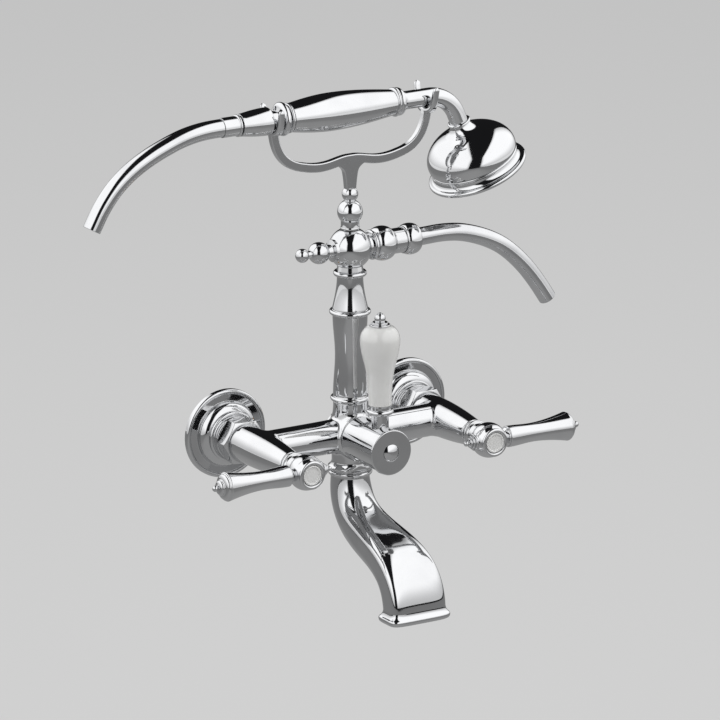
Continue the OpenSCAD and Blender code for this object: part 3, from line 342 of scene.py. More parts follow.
def place(origin, ahead, across=X):
    """A point and three directions: across, up and the way the heights run."""
    ahead = np.asarray(ahead, float) / np.linalg.norm(ahead)
    across = np.asarray(across, float) - ahead * (np.asarray(across, float) @ ahead)
    across = across / np.linalg.norm(across)
    return np.asarray(origin, float), across, np.cross(ahead, across), ahead


def turned_rings(outline, at, around, cut):
    """A ring for each point of the outline. A cut changes the radius from angle, radius and height."""
    origin, across, up, ahead = at
    r, h = np.array(outline, float).T
    angle = np.linspace(0, 2 * math.pi, around, endpoint=False)
    radius = np.repeat(r[:, None], around, axis=1)
    if cut is not None:
        radius = cut(angle[None, :], radius, h[:, None])
    return (origin + h[:, None, None] * ahead
            + (radius * np.cos(angle))[..., None] * across
            + (radius * np.sin(angle))[..., None] * up)


def turn(node, outline, at, around=112, cut=None, loop=False):
    """A turned piece that stands for a CAD node. A loop is a closed outline, such as a hollow ring's."""
    piece = skin(node + "_turned", turned_rings(outline, at, around, cut), loop=loop)
    return stands_for(piece, node)


def valve_axis(side):
    """From the wall through one valve, out towards the user."""
    return place((side * 75.0, 0, 0), -Y)


MIDDLE = place((0, 0, 0), -Y)
RISER = place((0, RISER_Y, 0), Z)
SIDES = {"left": -1, "right": 1}

# %% [markdown]
# ## Behind the wall: the threaded unions
# Two brass unions screw into the pipes in the wall. Their thread is cut with a real helix, by letting the
# radius depend on both the angle and the height, so the crest climbs one pitch with each turn.

# %% Unions with a cut thread
THREAD_PITCH, THREAD_DEPTH, THREAD_R = 1.814, 1.1, 10.48


def pipe_thread(start, stop):
    """A cut that leaves a helical thread between two heights, fading out at both ends."""
    def cut(angle, radius, height):
        phase = (height / THREAD_PITCH - angle / (2 * math.pi)) % 1.0
        groove = np.clip(1.25 - np.abs(phase - 0.5) * 3.0, 0, 1)
        fade = np.clip((height - start) / 0.8, 0, 1) * np.clip((stop - height) / 1.6, 0, 1)
        outside = radius > 9
        return radius - np.where(outside, THREAD_DEPTH * (1 - groove) * fade, 0)
    return cut


for name, side in SIDES.items():
    outline = [(7.2, -25), (9.6, -25), (THREAD_R, -24.2)]
    outline += [(THREAD_R, h) for h in np.arange(-24, -0.2, 0.2)]
    outline += [(THREAD_R, 0), (12, 0), (12, 10), (13.2, 10), (13.2, 23.4), (7, 23.4)]
    turn(name + "_union", outline, valve_axis(side), cut=pipe_thread(-25, -0.6), loop=True, around=96)
print("unions: thread pitch", THREAD_PITCH, "mm")

# %% [markdown]
# ## Wall flanges
# The flange is a thin spun shell that hides the hole in the tiles. It has a rolled rim, a flat band, a
# swelling dome and a bead at its neck. The shell is hollow, so its outline closes on itself.

# %% Flanges
FLANGE_R, FLANGE_DEPTH, FLANGE_BORE = 32.2, 17.8, 13.5
r, d, bore = FLANGE_R, FLANGE_DEPTH, FLANGE_BORE
flange_outline = (
    [(r - 0.3, 0), (r, 0.3)] + arc((r - 1.9, 2.1), 1.9, 0, 112, 14)
    + rounded([(r - 2.9, 3.6), (r - 3.4, 3.0, 0.4), (r - 8.3, 3.3, 0.3), (r - 8.6, 4.2)])
    + oval((r - 16.4, 4.2), 7.5, d - 11.2, 4, 72, 26)
    + rounded([(bore + 4.3, d - 7.35), (bore + 4.0, d - 7.4, 0.2), (bore + 4.0, d - 7.1)])
    + arc((bore + 3.4, d - 6), 1.3, -60, 120, 14)
    + rounded([(bore + 2.6, d - 4.6), (bore + 2.4, d - 4.3, 0.2), (bore + 2.4, d, 0.5), (bore, d)])
    + [(bore, d - 4.6), (r - 13, 5.4), (r - 6, 1.8), (r - 2, 1.4), (r - 2, 0)]
)
for name, side in SIDES.items():
    turn(name + "_flange", flange_outline, valve_axis(side), around=144, loop=True)

# %% [markdown]
# ## Union nuts
# A hexagon nut is also turned: the lathe cuts its corners to a cone, which leaves the curved arcs on each
# flat. So the nut is a turned outline whose radius is limited by the six flats, and a soft minimum rounds
# the edges where the two meet.

# %% Nuts
NUT_START, NUT_END, NUT_FLATS, NUT_TURN = 18.1, 30.2, 30.0, math.radians(58)


def soft_least(a, b, size):
    """The smaller of two values, with the change from one to the other rounded."""
    h = np.clip(0.5 + 0.5 * (b - a) / size, 0, 1)
    return b * (1 - h) + a * h - size * h * (1 - h)


def six_flats(angle, radius, height):
    """Limit the nut's outside to its six flats, and leave its bore alone."""
    sector = (angle - NUT_TURN) % (math.pi / 3) - math.pi / 6
    flats = NUT_FLATS / 2 / np.cos(sector)
    return np.where(radius > 13.6, soft_least(radius, flats, 0.5), radius)


corner = NUT_FLATS / 2 / math.cos(math.pi / 6) + 0.2
chamfer = run(lambda t: (NUT_FLATS / 2 - 0.4 + (corner - NUT_FLATS / 2 + 0.4) * t, 1.3 * t), 12)
nut_outline = (
    [(13.3, NUT_START), (14, NUT_START)]
    + [(a, NUT_START + b) for a, b in chamfer]
    + [(corner, h) for h in np.linspace(NUT_START + 1.5, NUT_END - 1.5, 8)]
    + [(a, NUT_END - b) for a, b in chamfer[::-1]]
    + [(14, NUT_END), (11.0, NUT_END), (11.0, NUT_END - 3.2), (13.3, NUT_END - 3.2)]
)
for name, side in SIDES.items():
    turn(name + "_union_nut", nut_outline, valve_axis(side), around=216, cut=six_flats, loop=True)

# %% [markdown]
# ## The valve body
# The body is one brass casting: two valve barrels, the crossbar between them, the boss of the diverter and
# the sockets of riser and spout. A casting has a soft fillet at every joint, which separate tubes can't
# give. So the shape is written as a distance: how far a point lies from the metal. Blending the distances
# rounds the joints, and a surface net then finds where the distance is zero.

# %% Distances and blends
def blend(a, b, size):
    """The union of two distances, with a fillet of about the given size."""
    return soft_least(a, b, size)


def turned_distance(radius_at, across, along, low, high, edge=0.8):
    """Roughly how far points lie outside a turned solid, with its end edges rounded."""
    shell = across - radius_at(along)
    ends = np.maximum(low - along, along - high)
    return -soft_least(-shell, -ends, edge)


def barrel_radius(h):
    """The valve barrel narrows towards its bonnet."""
    t = np.clip((h - 40) / 52, 0, 1)
    return 13.5 - 4.0 * t * t


def socket_radius(z):
    """The socket swells a little at its head and flares out to a lip at its foot."""
    foot = np.clip((-18.2 - z) / 5, 0, 1)
    head = np.clip((21.6 - z) / 9, 0, 1)
    return 12.0 + 1.1 * head ** 2 + 2.7 * foot ** 2.5


def body_distance(p):
    """How far points lie outside the whole casting, in mm."""
    x, y, z = p[..., 0], p[..., 1], p[..., 2]
    crossbar = np.hypot(y - RISER_Y, z) - (11.9 + 0.6 * np.clip(1 - np.abs(x) / 38, 0, 1) ** 2)
    crossbar = np.maximum(crossbar, np.abs(x) - 75)
    tall = turned_distance(socket_radius, np.hypot(x, y - RISER_Y), z, -24.6, 24.6, 0.4)
    boss = turned_distance(lambda h: 16.2 - 0.02 * (62 - h), np.hypot(x, z), -y, 37, 61.8, 1.6)
    middle = blend(blend(crossbar, tall, 2.4), boss, 1.6)
    middle = -soft_least(-middle, -(-61.8 - y), 0.8)
    barrels = turned_distance(barrel_radius, np.hypot(np.abs(x) - 75, z), -y, 30.5, 93, 1.2)
    return blend(middle, barrels, 2.4)


# %% [markdown]
# A surface net puts one point in each small cube that the surface passes through, and one quad across each
# cube edge that it cuts. Newton steps then slide the points on to the exact surface, and the gradient
# of the distance gives normals without any trace of the grid, which a mirror finish would show at once.

# %% Surface net
NEWTON_STEPS = 4


def either_end(axis):
    """Slices of a grid that drop its last or its first layer along one axis."""
    near, far = [slice(None)] * 3, [slice(None)] * 3
    near[axis], far[axis] = slice(None, -1), slice(1, None)
    return tuple(near), tuple(far)


def surface_net(distance, low, high, step):
    """Points in the cubes that a surface crosses, and the quads between them."""
    axes = [np.arange(a, b + step, step) for a, b in zip(low, high)]
    grid = np.stack(np.meshgrid(*axes, indexing="ij"), axis=-1)
    value = distance(grid)
    inside = value < 0
    total, hits = np.zeros(tuple(n - 1 for n in value.shape) + (3,)), 0
    for axis in range(3):
        near, far = either_end(axis)
        a, b = value[near], value[far]
        cuts = inside[near] != inside[far]
        t = np.where(cuts, a / np.where(cuts, a - b, 1), 0)
        point = grid[near] + t[..., None] * (grid[far] - grid[near])
        point = np.where(cuts[..., None], point, 0)
        others = [k for k in range(3) if k != axis]
        for da in (0, 1):
            for db in (0, 1):
                pick = [slice(None)] * 3
                pick[others[0]] = slice(da, value.shape[others[0]] - 1 + da)
                pick[others[1]] = slice(db, value.shape[others[1]] - 1 + db)
                total += point[tuple(pick)]
                hits = hits + cuts[tuple(pick)].astype(int)
    used = hits > 0
    index = -np.ones(used.shape, int)
    index[used] = np.arange(used.sum())
    points = total[used] / hits[used][:, None]
    faces = []
    for axis in range(3):
        near, far = either_end(axis)
        cells = np.argwhere(inside[near] != inside[far])
        others = [k for k in range(3) if k != axis]
        cells = cells[(cells[:, others[0]] > 0) & (cells[:, others[1]] > 0)]
        one, two = np.zeros(3, int), np.zeros(3, int)
        one[others[0]], two[others[1]] = 1, 1
        quad = [index[tuple((cells - shift).T)] for shift in (0 * one, one, one + two, two)]
        faces.append(np.stack(quad, axis=1))
    return points, np.concatenate(faces)


def gradient(distance, p, step=0.02):
    """The direction in which the distance grows, by small steps to both sides."""
    changes = [distance(p + step * axis) - distance(p - step * axis) for axis in np.eye(3)]
    return np.stack(changes, axis=-1) / (2 * step)


def net_piece(name, distance, low, high, step):
    """A piece whose surface lies where the distance is zero."""
    points, faces = surface_net(distance, low, high, step)
    for _ in range(NEWTON_STEPS):
        g = gradient(distance, points)
        move = distance(points) / np.maximum((g * g).sum(axis=1), 0.05)
        points = points - np.clip(move, -step / 2, step / 2)[:, None] * g
    piece = smooth_object(name, points, faces.tolist(), weld=False)
    normals = gradient(distance, points)
    normals = normals / np.linalg.norm(normals, axis=1, keepdims=True)
    piece.data.normals_split_custom_set_from_vertices(normals.tolist())
    print(name, "has", len(points), "points")
    return piece


# %% [markdown]
# The Newton steps put the points on the surface.

# %% Cast the body
body_step = 0.8
body_low, body_high = (-92, -96, -30), (92, -25, 28)
casting = net_piece("valve_body_casting", body_distance, body_low, body_high, body_step)
stands_for(casting, "valve_body")

# %% [markdown]
# ## Bonnets and handles
# Each valve ends in a bonnet with a rolled bead, then a ball on the spindle. The ball carries a lever on its
# outer side, a stepped finial on its inner side and an index disc in a rolled bezel in front.

# %% Bonnets
BARREL_END, BONNET_FRONT = 93.0, 98.2
b, f = BARREL_END, BONNET_FRONT
bonnet_outline = (
    [(4.0, b - 12), (8.1, b - 12), (8.1, b), (8.4, b), (8.4, b + 1.4)]
    + arc((8.9, b + 2.8), 1.1, -90, 90, 14)
    + rounded([(8.7, b + 4), (8.3, f - 0.6), (7.7, f, 0.3), (4.0, f)], 0.2)
)
for name, side in SIDES.items():
    turn(name + "_bonnet", bonnet_outline, valve_axis(side), loop=True)

# %% [markdown]
# The hub is a ball whose front is cut to a bezel, with a glazed disc in it. Both are turned, since all their
# edges are circles. The bezel is a rolled bead, so a bright ring frames the disc.

# %% Hubs and index discs
HUB, HUB_R, HUB_REAR, HUB_FACE, HUB_FRONT, INDEX_R = 113.0, 12.6, 98.6, 119.96, 122.46, 7.2
hub_outline = (
    rounded([(4.1, HUB_REAR), (8.6, HUB_REAR, 0.4), (8.6, HUB_REAR + 1.2)])
    + arc((0, HUB), HUB_R, -equator(HUB_R, 8.6), equator(HUB_R, 10.4), 36)
    + [(10.2, HUB_FACE + 0.5), (10.1, HUB_FACE + 0.9)]
    + arc((INDEX_R + 1.7, HUB_FRONT - 1.5), 1.5, -10, 175, 16)
    + [(INDEX_R + 0.1, HUB_FRONT - 2), (INDEX_R + 0.1, HUB + 4.4), (4.1, HUB + 4.4)]
)
index_outline = rounded(
    [(0, HUB + 4.6), (INDEX_R, HUB + 4.6), (INDEX_R, HUB_FRONT - 0.9)]
) + arc((INDEX_R - 0.7, HUB_FRONT - 0.9), 0.7, 0, 170, 10) + rounded(
    [(INDEX_R - 1.5, HUB_FRONT - 0.8), (INDEX_R - 1.8, HUB_FRONT - 1.1, 0.3), (0, HUB_FRONT - 0.9)])
for name, side in SIDES.items():
    turn(name + "_hub", hub_outline, valve_axis(side), around=144, loop=True)
    turn(name + "_index", index_outline, valve_axis(side))


# %% [markdown]
# The lever is a slim rod that narrows and flares again, with a stepped cap at its end. A formula gives its
# radius, because a curve drawn through a few points can show small waves in a mirror finish.

# %% Levers, their caps and the finials
def hub_axis(side, inwards=False):
    return place((side * 75.0, -HUB, 0), X * side * (-1 if inwards else 1), Z)


LEVER_SEAT, LEVER_LENGTH, LEVER_END_R, LEVER_WAIST_R = 11.6, 65.4, 10.4, 6.7
LEVER_BASE, LEVER_BASE_R, LEVER_DIP = LEVER_SEAT + 3.2, 7.6, 0.4


def lever_radius(t):
    """The lever narrows to its waist and then flares towards its end."""
    if t < LEVER_DIP:
        return LEVER_BASE_R - (LEVER_BASE_R - LEVER_WAIST_R) * ease(t / LEVER_DIP)
    return LEVER_WAIST_R + (LEVER_END_R - LEVER_WAIST_R) * ((t - LEVER_DIP) / (1 - LEVER_DIP)) ** 1.8


lever_run = LEVER_LENGTH - LEVER_BASE - 2.6
lever_outline = (
    rounded([(0, LEVER_SEAT - 3), (4.6, LEVER_SEAT - 3), (4.9, LEVER_SEAT + 0.9),
             (6.7, LEVER_BASE - 0.7, 0.4), (6.7, LEVER_BASE)])
    + arc((6.9, LEVER_BASE + 0.7), 0.7, -90, 0, 6)
    + run(lambda t: (lever_radius(t), LEVER_BASE + 1.4 + lever_run * t), 48)[1:]
    + arc((LEVER_END_R - 0.9, LEVER_LENGTH - 1.1), 0.9, 0, 90, 8)
    + [(LEVER_END_R - 1.4, LEVER_LENGTH - 0.6), (0, LEVER_LENGTH - 0.6)]
)
r = LEVER_END_R - 0.5
tip_outline = [(p[0], p[1] + LEVER_LENGTH - 0.6) for p in (
    rounded([(0, 0), (r, 0), (r, 0.8, 0.3), (r - 0.7, 1.2, 0.2)])
    + oval((r - 4.7, 1.0), 4.0, 2.4, 6, 80, 14)
    + rounded([(r - 4.2, 3.5), (r - 4.4, 3.9, 0.2), (r - 4.4, 4.3)])
    + oval((r - 7.0, 4.3), 2.4, 1.9, 6, 80, 12)
    + [(1.5, 6.6)]
    + arc((0, 8.2), 2.2, -46, 90, 16)
)]
r, seat = 6.0, 11.2
finial_outline = (
    [(0, seat - 3), (r, seat - 3), (r, seat)]
    + arc((r - 0.8, seat + 1.2), 0.8, -60, 90, 9)
    + arc((r - 2.1, seat + 2.8), 0.8, -60, 90, 9)
    + arc((r - 3.3, seat + 4.4), 0.8, -60, 90, 9)
    + [(1.4, seat + 5.8)]
    + arc((0, seat + 7.4), 1.9, -45, 90, 14)
)
for name, side in SIDES.items():
    turn(name + "_lever", lever_outline, hub_axis(side))
    turn(name + "_lever_tip", tip_outline, hub_axis(side))
    turn(name + "_hub_finial", finial_outline, hub_axis(side, inwards=True), around=72)
print("handles: lever", LEVER_LENGTH, "mm from the ball")

# %% [markdown]
# ## The diverter
# A drum turns on the front of the body. A stem stands on it and carries a glazed porcelain grip, which a
# finial with a long rod clamps in place. The drum's face is flat, so it shows one even tone, with a domed
# button in its middle.

# %% Drum, button and stem
DRUM_R, DRUM_REAR, DRUM_REACH, DRUM_RIM = 15.7, 62.2, 104.2, 0.7
drum_outline = (
    rounded([(12.5, DRUM_REAR), (DRUM_R, DRUM_REAR, 0.7), (DRUM_R, DRUM_REACH - 2.8, 0.2),
             (DRUM_R - 0.4, DRUM_REACH - 2.4, 0.2), (DRUM_R + DRUM_RIM, DRUM_REACH - 2.0, 0.3),
             (DRUM_R + DRUM_RIM, DRUM_REACH, 0.9), (DRUM_R - 3, DRUM_REACH), (6.2, DRUM_REACH, 0.3),
             (6.2, DRUM_REACH - 1.5)])
    + [(3, DRUM_REACH - 1.5), (3, DRUM_REACH - 5), (12.5, DRUM_REACH - 5)]
)
turn("diverter_drum", drum_outline, MIDDLE, around=160, loop=True)
BUTTON_R, BUTTON_RISE = 6, 2.2
dome_r = (BUTTON_R ** 2 + BUTTON_RISE ** 2) / (2 * BUTTON_RISE)
half = math.degrees(math.asin(BUTTON_R / dome_r))
turn("diverter_button",
     [(0, DRUM_REACH - 1.3), (BUTTON_R, DRUM_REACH - 1.3)]
     + arc((0, DRUM_REACH + BUTTON_RISE - dome_r), dome_r, 90 - half, 90, 20), MIDDLE)

STEM_Y, GRIP_FOOT, GRIP_TOP = -88.8, 31.64, 89.04
STEM = place((0, STEM_Y, 0), Z)
r, z = 8.3, GRIP_FOOT
stem_outline = (
    [(0, 12), (6.2, 12), (6.2, z - 7.2), (7.1, z - 6.5)]
    + arc((r - 0.4, z - 4.8), 1.8, -100, 80, 16)
    + rounded([(r - 0.4, z - 2.8), (r - 0.5, z - 0.8, 0.2), (r - 0.1, z - 0.4), (r - 0.1, z, 0.1), (0, z)])
)
turn("diverter_stem", stem_outline, STEM)

# %% [markdown]
# A glazed grip has no sharp edges. Its outline is two eased curves, one from the narrow foot to the shoulder
# and one over the top. The finial's rod clamps it to the stem.

# %% Porcelain grip and its finial
FOOT_R, GRIP_R, GRIP_LENGTH = 8.3, 14.2, 57.4
grip_outline = (
    rounded([(2.6, GRIP_FOOT + 0.1), (FOOT_R, GRIP_FOOT + 0.1, 0.5), (FOOT_R, GRIP_FOOT + 0.8)])
    + run(lambda t: (FOOT_R + (GRIP_R - FOOT_R) * ease(t ** 1.5),
                     GRIP_FOOT + 0.8 + (GRIP_LENGTH * 0.82 - 0.8) * t), 40)[1:]
    + run(lambda t: (GRIP_R - (GRIP_R - 5.5) * (1 - math.cos(math.radians(76 * t))),
                     GRIP_FOOT + GRIP_LENGTH * (0.82 + 0.185 * math.sin(math.radians(76 * t)))), 24)[1:]
    + [(2.6, GRIP_TOP)]
)
turn("diverter_grip", grip_outline, STEM, around=144, loop=True)
z = GRIP_TOP + 0.1
turn("diverter_finial",
     [(0, z - 6), (2, z - 6), (2, z), (7.0, z)] + arc((6.6, z + 0.6), 0.6, -60, 90, 8)
     + [(5.9, z + 1.35)] + arc((5, z + 2.1), 0.6, -50, 90, 8) + [(3.4, z + 3.0)]
     + arc((0, z + 5.2), 3.9, -33, 66, 16) + [(1.1, z + 9.2), (0.5, z + 9.45), (0, z + 9.5)], STEM, around=96)

# %% [markdown]
# ## The riser
# Two tubes with rolled beads stand on the body. The lower one has a waist, and the upper one sweeps out at
# its foot. A ball on top carries the finial on one side and the hose outlet on the other.

# %% Riser tubes
SEAT, LOWER_TOP, UPPER_TOP = 24.6, 92.0, 115.6
low, high = SEAT + 4.4, LOWER_TOP - 4.4


def waist(t):
    """The lower riser's radius and height, narrow in the middle."""
    radius = 12.1 - 1.4 * ease(2 * t) if t < 0.5 else 10.7 + 1.7 * ease(2 * t - 1)
    return radius, low + (high - low) * t


turn("lower_riser",
     [(6.5, SEAT - 6), (6.5, SEAT), (12, SEAT)] + arc((12.3, SEAT + 2.1), 1.7, -85, 85, 16)
     + run(waist, 44) + arc((13, LOWER_TOP - 2.1), 1.8, -85, 85, 16)
     + [(12.8, LOWER_TOP), (6.5, LOWER_TOP)], RISER, around=144, loop=True)
turn("upper_riser",
     [(5, LOWER_TOP - 4), (6.3, LOWER_TOP - 4), (6.3, LOWER_TOP), (12.7, LOWER_TOP)]
     + run(lambda t: (12.7 - 3.4 * math.sin(math.pi / 2 * t), LOWER_TOP + 0.6 + 23.0 * t), 32)
     + [(5, UPPER_TOP)], RISER, around=144, loop=True)

# %% [markdown]
# The ball joins the riser, the post above it and the two side branches. All of them are turned parts, and
# each one seats against the ball with a small step, so the joints read as separate pieces.

# %% Ball
BALL_Z, BALL_R, BALL_TOP, SIDE_FACE = 135.8, 15.3, 149.46, 13.04
turn("outlet_ball",
     [(4, UPPER_TOP - 4), (4.9, UPPER_TOP - 4), (4.9, UPPER_TOP), (9.6, UPPER_TOP)]
     + arc((10, UPPER_TOP + 2.4), 1.9, -85, 80, 16) + [(9.4, UPPER_TOP + 4.7)]
     + arc((0, BALL_Z), BALL_R, -equator(BALL_R, 9), equator(BALL_R, 6.9), 56)
     + [(6.6, BALL_TOP + 0.05), (4, BALL_TOP + 0.05)], RISER, around=160, loop=True)

# %% [markdown]
# The branches screw into the ball from both sides. They are rows of balls and beads on one axis. Each ball
# starts and ends where its circle is as wide as its neck, so no gap shows between them.

# %% Side finial, nipple and hose nut
BALL_OUT = place((0, RISER_Y, BALL_Z), X, Z)
BALL_IN = place((0, RISER_Y, BALL_Z), -X, Z)
f = SIDE_FACE
big_r, small_r = 7.8, 4.95
big_z, small_z = f + 12.5, f + 26.1
turn("side_finial",
     rounded([(0, f - 2), (8, f - 2), (8, f + 2.2, 0.4), (5, f + 3.2, 0.5), (5, f + 4.4)])
     + arc((0, big_z), big_r, -equator(big_r, 4.6), equator(big_r, 2.8), 30)
     + arc((0, small_z), small_r, -equator(small_r, 2.6), 90, 24), BALL_IN)
turn("outlet_nipple",
     [(4.5, f - 2), (8, f - 2), (8, f + 2.6)]
     + arc((9.2, f + 4.1), 1.5, -85, 85, 14) + [(8.8, f + 5.9)]
     + oval((8.4, f + 13), 4, 7.2, -76, 66, 30)
     + rounded([(9.2, f + 20.4), (9, f + 21.1, 0.2), (9, f + 29.2, 0.3), (8.2, f + 29.2), (8.2, f + 35.5)])
     + [(4.5, f + 35.5)], BALL_OUT, loop=True)
HOSE_NUT = 42.54
turn("outlet_hose_nut",
     rounded([(8.2, HOSE_NUT), (9.8, HOSE_NUT, 0.5), (9.9, HOSE_NUT + 0.8)])
     + oval((8.3, HOSE_NUT + 6.2), 2.95, 6, -58, 80, 30)
     + rounded([(8.4, HOSE_NUT + 12.2), (6.6, HOSE_NUT + 12.2), (6.6, HOSE_NUT + 1)]), BALL_OUT, loop=True)
print("outlet: hose nut from", HOSE_NUT, "mm")

# %% [markdown]
# ## The cradle
# The post is turned, with two balls. The strap, its stem and the two forks are a forging. The strap and stem
# are flat bars with small round corners, and the prongs have a section between a rectangle and an oval. All
# are swept along their own curves.

# %% Post
POST_BOTTOM, POST_TOP = 149.86, 179.36
BIG_BALL_Z, BIG_BALL_R, SMALL_BALL_Z, SMALL_BALL_R = 162.26, 9.05, 175.16, 5.8
b = POST_BOTTOM
top_turn = math.degrees(math.asin((POST_TOP - SMALL_BALL_Z) / SMALL_BALL_R))
turn("cradle_post",
     rounded([(3.1, b), (6.9, b, 0.3), (6.9, b + 1.2, 0.3), (6.5, b + 2)])
     + arc((0, BIG_BALL_Z), BIG_BALL_R, -equator(BIG_BALL_R, 6.5), equator(BIG_BALL_R, 3.9), 36)
     + arc((0, SMALL_BALL_Z), SMALL_BALL_R, -equator(SMALL_BALL_R, 3.8), top_turn, 26)
     + [(3.1, POST_TOP)], RISER, loop=True)


# %% [markdown]
# A forged arm keeps its section along a curve. Rings are set square to the curve, and one side of the section
# keeps the same direction all along, which a plain sweep can lose in a bend.

# %% Swept arms
def bezier(a, b, c, d, steps):
    """Points on the curve from a to d that b and c pull on."""
    a, b, c, d = (np.asarray(v, float) for v in (a, b, c, d))
    t = np.linspace(0, 1, steps + 1)[:, None]
    s = 1 - t
    return a * s ** 3 + 3 * b * s * s * t + 3 * c * s * t * t + d * t ** 3


def squircle(power, around=48):
    """A closed section between an oval, at power 2, and a rectangle, with its points evenly spread."""
    def shape(w, h):
        a = np.linspace(0, 2 * math.pi, 1441)
        c, s = np.cos(a), np.sin(a)
        u = np.sign(c) * np.abs(c) ** (2 / power) * w
        v = np.sign(s) * np.abs(s) ** (2 / power) * h
        far = np.concatenate([[0], np.cumsum(np.hypot(np.diff(u), np.diff(v)))])
        at = np.linspace(0, far[-1], around, endpoint=False)
        return np.interp(at, far, u), np.interp(at, far, v)
    return shape


def bar(corner, steps=5):
    """A flat bar's section: a rectangle with small round corners."""
    def shape(w, h):
        c = min(corner, 0.9 * w, 0.9 * h)
        turns = np.radians(np.linspace(0, 90, steps + 1))
        points = []
        for quarter, (su, sv) in enumerate(((1, 1), (-1, 1), (-1, -1), (1, -1))):
            for t in turns + quarter * math.pi / 2:
                points.append((su * (w - c) + c * math.cos(t), sv * (h - c) + c * math.sin(t)))
        return np.array(points).T
    return shape


def swept_rings(path, side, across, along, shape):
    """Rings square to a path. Across is the half size square to side, along is the one along it."""
    path = np.asarray(path, float)
    ahead = directions(path)
    across = np.broadcast_to(across, len(path))
    along = np.broadcast_to(along, len(path))
    rings = []
    for p, d, w, h in zip(path, ahead, across, along):
        u, v = shape(w, h)
        rings.append(p + np.outer(u, np.cross(d, side)) + np.outer(v, side))
    return np.array(rings)


# %% [markdown]
# Both arms are one path from fork to fork. The forks cross its ends as U shapes with tapered tips, and the
# stem widens into the strap. The shapes pass a little into each other, as in one forging.

# %% Strap, stem and forks
FORK_X, SADDLE_Z, SADDLE_T, STRAP_LOW = 62.5, 229.9, 4.4, 198.4
STRAP_W, STRAP_T, STRAP_CORNER, PRONG_W = 6.4, 4.8, 0.9, 6.4


def arm(side):
    """One half of the strap, from its middle to its fork."""
    low, bend, top = STRAP_LOW, FORK_X - 24, SADDLE_Z - SADDLE_T / 2
    first = bezier((side * 2, 0, low + 2.6), (side * 12, 0, low + 2.6), (side * 20, 0, low - 3.4),
                   (side * bend, 0, low + 1.4), 24)
    second = bezier((side * bend, 0, low + 1.4), (side * (bend + 14), 0, low + 4.4),
                    (side * (bend + 22), 0, low + 12), (side * FORK_X, 0, top), 24)
    return np.concatenate([first, second[1:]])


def prong(side, face):
    """One prong of a fork, from the saddle up and outwards."""
    z = SADDLE_Z - SADDLE_T / 2
    return bezier((side * FORK_X, face, z), (side * FORK_X, face * 11, z + 0.6),
                  (side * FORK_X, face * 10.4, z + 8), (side * (FORK_X + 0.6), face * 13.4, z + 18.6), 28)


def on_riser(path):
    """Move a path from the riser's own axis to its place in the frame."""
    return np.asarray(path) + np.array([0, RISER_Y, 0])


strap = on_riser(np.concatenate([arm(-1)[::-1], arm(1)]))
shells = [swept_rings(strap, Y, STRAP_W / 2, STRAP_T / 2, bar(STRAP_CORNER))]
for side in (-1, 1):
    fork = on_riser(np.concatenate([prong(side, -1)[::-1], prong(side, 1)]))
    taper = np.abs(np.linspace(-1, 1, len(fork)))
    tip = np.sqrt(np.clip(1 - ((taper - 0.93) / 0.07).clip(0, 1) ** 2, 0.02, 1))
    shells.append(swept_rings(fork, X, SADDLE_T / 2 * (1 - 0.35 * taper) * tip,
                              PRONG_W / 2 * (1 - 0.3 * taper) * tip, squircle(3.2)))
stem_outline = [(4, POST_TOP + 0.1), (4.9, POST_TOP + 8), (6.4, STRAP_LOW - 5), (10.5, STRAP_LOW - 1.6),
                (14, STRAP_LOW - 0.2), (10, STRAP_LOW + 2.6)]
stem_path = smooth_route([(half_width, 0, z) for half_width, z in stem_outline], 8)
stem_line = on_riser(stem_path * [0, 0, 1])
shells.append(swept_rings(stem_line, Y, stem_path[:, 0], STRAP_T / 2 - 0.02, bar(STRAP_CORNER)))
stands_for(skin("cradle_fork_forged", *shells), "cradle_fork")

# %% [markdown]
# ## The hand shower
# A cone nut, a beaded collar, a swelling grip and a second collar are turned along one axis. Then the neck
# bends down to the bell, whose own axis leans back a little. Only the neck needs a sweep.

# %% Along the handle
REST_Z = 236.8
HANDLE = place((0, RISER_Y, REST_Z), X, Z)
CONE_START, CONE_END, BEAD, COLLAR_END = -89.7, -66.1, -58.9, -49.5
GRIP_START, GRIP_END, NECK_R = -49.5, 34.5, 6.5
turn("rear_cone_nut",
     rounded([(5.3, CONE_START), (7.9, CONE_START, 0.5), (7.95, CONE_START + 0.6)])
     + run(lambda t: (7.9 + 2 * math.sin(math.pi / 2 * t), CONE_START + 0.6 + 21 * t), 24)[1:]
     + arc((8.4, CONE_END - 1.5), 1.5, 8, 90, 8) + [(5.3, CONE_END)], HANDLE, loop=True)
FERRULE = -104.3
turn("hose_ferrule",
     rounded([(5.2, FERRULE + 6), (6.6, FERRULE + 6), (6.6, FERRULE), (7.0, FERRULE, 0.2),
              (7.0, CONE_START - 3.2)])
     + arc((6.8, CONE_START - 1.9), 1.1, -80, 80, 12)
     + [(6.7, CONE_START - 0.4), (5.2, CONE_START - 0.4)], HANDLE, loop=True)
turn("rear_collar",
     [(4.2, CONE_END), (NECK_R, CONE_END + 0.1), (NECK_R, BEAD - 0.3), (7.6, BEAD)]
     + oval((8, BEAD + 3.2), 4, 3, -84, 84, 24) + [(9.3, BEAD + 6.6)]
     + arc((9.6, BEAD + 7.9), 1.1, -84, 84, 12) + [(9.4, COLLAR_END), (4.2, COLLAR_END)], HANDLE, loop=True)


def grip_radius(t):
    """The grip swells quickly from its rear end and narrows slowly towards the bell."""
    if t < 0.4:
        return 10.2 + 3.3 * math.sin(math.radians(225 * t))
    return 9.1 + 4.4 * math.cos(math.radians(150 * (t - 0.4)))


